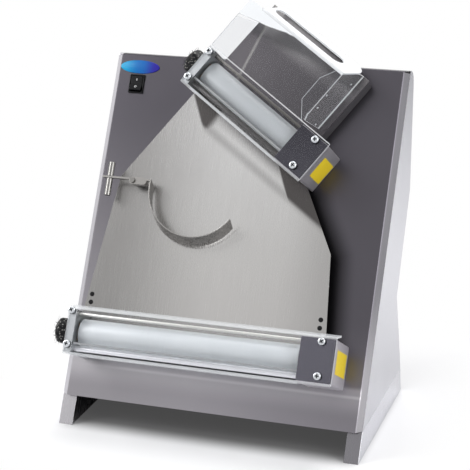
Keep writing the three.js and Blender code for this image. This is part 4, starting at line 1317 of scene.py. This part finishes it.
class DOUGHROLLER_OT_stage(bpy.types.Operator):
    """Add the floor, the lamps, the world and the camera"""
    bl_idname = "dough_roller.stage"
    bl_label = "Stage"

    LAMPS = (
        ("left_softbox", (-2.1, -0.9, 1.9), 1.6, 62.0),
        ("right_softbox", (2.2, -0.8, 1.4), 1.4, 34.0),
        ("top_softbox", (0.2, 0.9, 2.5), 1.8, 40.0),
    )
    AIM = Vector((0.0, 0.0, 0.3))
    CAMERA = Vector((0.7436, -2.2739, 1.0643))
    YAW = math.radians(18.0)
    PITCH = math.radians(17.68)

    def floor(self):
        """A pale floor with a painted shadow under the machine, and as white as the world away from it."""
        floor = primitive("plane", size=12)
        floor.name = "floor"
        finish = Finish("pale_floor")
        x, y, _ = finish.axes()
        sides, front = x.size(), 0.0 - y
        away = sides.ramp(0.22, 0.42).larger(front.ramp(0.17, 0.30)).larger(y.ramp(0.25, 0.45))
        # The painted shadow under the machine.
        under = sides.fall(0.225, 0.262) * front.fall(0.112, 0.166) * y.fall(0.10, 0.19) * 0.86
        pale = finish.blend(under, (0.90, 0.90, 0.91), (0.0, 0.0, 0.0))
        matt = finish.node("ShaderNodeBsdfDiffuse", None, {"Color": pale}).outputs[0]
        glow = finish.node("ShaderNodeEmission", None, {"Color": (1, 1, 1), "Strength": 1.0}).outputs[0]
        seen = Value(finish, finish.node("ShaderNodeLightPath").outputs["Is Camera Ray"])
        floor.data.materials.append(finish.done(finish.mix(seen * (0.06 + away * 0.94), matt, glow)))

    def world(self):
        """A world that is white to the camera and in mirrors, and dimmer as a light."""
        finish = Finish("studio", bpy.data.worlds)
        rays = finish.node("ShaderNodeLightPath").outputs
        seen = Value(finish, rays["Is Camera Ray"])
        for kind in ("Is Glossy Ray", "Is Transmission Ray"):
            seen = seen.larger(Value(finish, rays[kind]))
        dim, white = (
            finish.node("ShaderNodeBackground", None, {"Color": (shade, shade, shade), "Strength": strength})
            for shade, strength in ((0.8, 0.35), (1.0, 1.0)))
        mixed = finish.mix(seen, dim.outputs[0], white.outputs[0])
        bpy.context.scene.world = finish.done(mixed, "ShaderNodeOutputWorld")

    def lamps(self):
        for name, place, size, energy in self.LAMPS:
            lamp = bpy.data.lights.new(name, "AREA")
            lamp.shape, lamp.size, lamp.energy = "SQUARE", size, energy
            holder = linked(name, lamp)
            holder.location = place
            holder.rotation_euler = (self.AIM - Vector(place)).to_track_quat("-Z", "Y").to_euler()

    def camera(self):
        view = bpy.data.cameras.new("photo_camera")
        view.lens, view.sensor_width = 120.0, 36.0
        holder = linked("photo_camera", view)
        holder.location = self.CAMERA
        holder.rotation_euler = (math.pi / 2 - self.PITCH, 0.0, self.YAW)
        bpy.context.scene.camera = holder

    def execute(self, context):
        self.floor()
        self.world()
        self.lamps()
        self.camera()
        context.scene.view_settings.view_transform = "Standard"
        return {"FINISHED"}


class DOUGHROLLER_PT_panel(bpy.types.Panel):
    """Lists the steps that dress the machine"""
    bl_label = "Dough Roller Machine"
    bl_idname = "DOUGHROLLER_PT_panel"
    bl_space_type = "VIEW_3D"
    bl_region_type = "UI"
    bl_category = "Dough Roller"

    def draw(self, context):
        for step in STEPS:
            self.layout.operator(f"dough_roller.{step}")


CLASSES = (
    DOUGHROLLER_PG_sizes,
    DOUGHROLLER_PG_colours,
    DOUGHROLLER_OT_finishes,
    DOUGHROLLER_OT_body,
    DOUGHROLLER_OT_foot_pads,
    DOUGHROLLER_OT_louvres,
    DOUGHROLLER_OT_slide_plate,
    DOUGHROLLER_OT_frames,
    DOUGHROLLER_OT_rollers,
    DOUGHROLLER_OT_bars,
    DOUGHROLLER_OT_guards,
    DOUGHROLLER_OT_hood,
    DOUGHROLLER_OT_screws,
    DOUGHROLLER_OT_chute,
    DOUGHROLLER_OT_knobs,
    DOUGHROLLER_OT_turner,
    DOUGHROLLER_OT_switch,
    DOUGHROLLER_OT_name_plate,
    DOUGHROLLER_OT_labels,
    DOUGHROLLER_OT_gland,
    DOUGHROLLER_OT_stage,
    DOUGHROLLER_PT_panel,
)
STEPS = [item.bl_idname.split(".")[1] for item in CLASSES if issubclass(item, bpy.types.Operator)]


def register():
    for item in CLASSES:
        bpy.utils.register_class(item)
    bpy.types.Scene.dough_roller_sizes = bpy.props.PointerProperty(type=DOUGHROLLER_PG_sizes)
    bpy.types.Scene.dough_roller_colours = bpy.props.PointerProperty(type=DOUGHROLLER_PG_colours)


def unregister():
    del bpy.types.Scene.dough_roller_colours
    del bpy.types.Scene.dough_roller_sizes
    for item in reversed(CLASSES):
        bpy.utils.unregister_class(item)


def main():
    register()
    for step in STEPS:
        getattr(bpy.ops.dough_roller, step)()


if __name__ == "__main__":
    main()
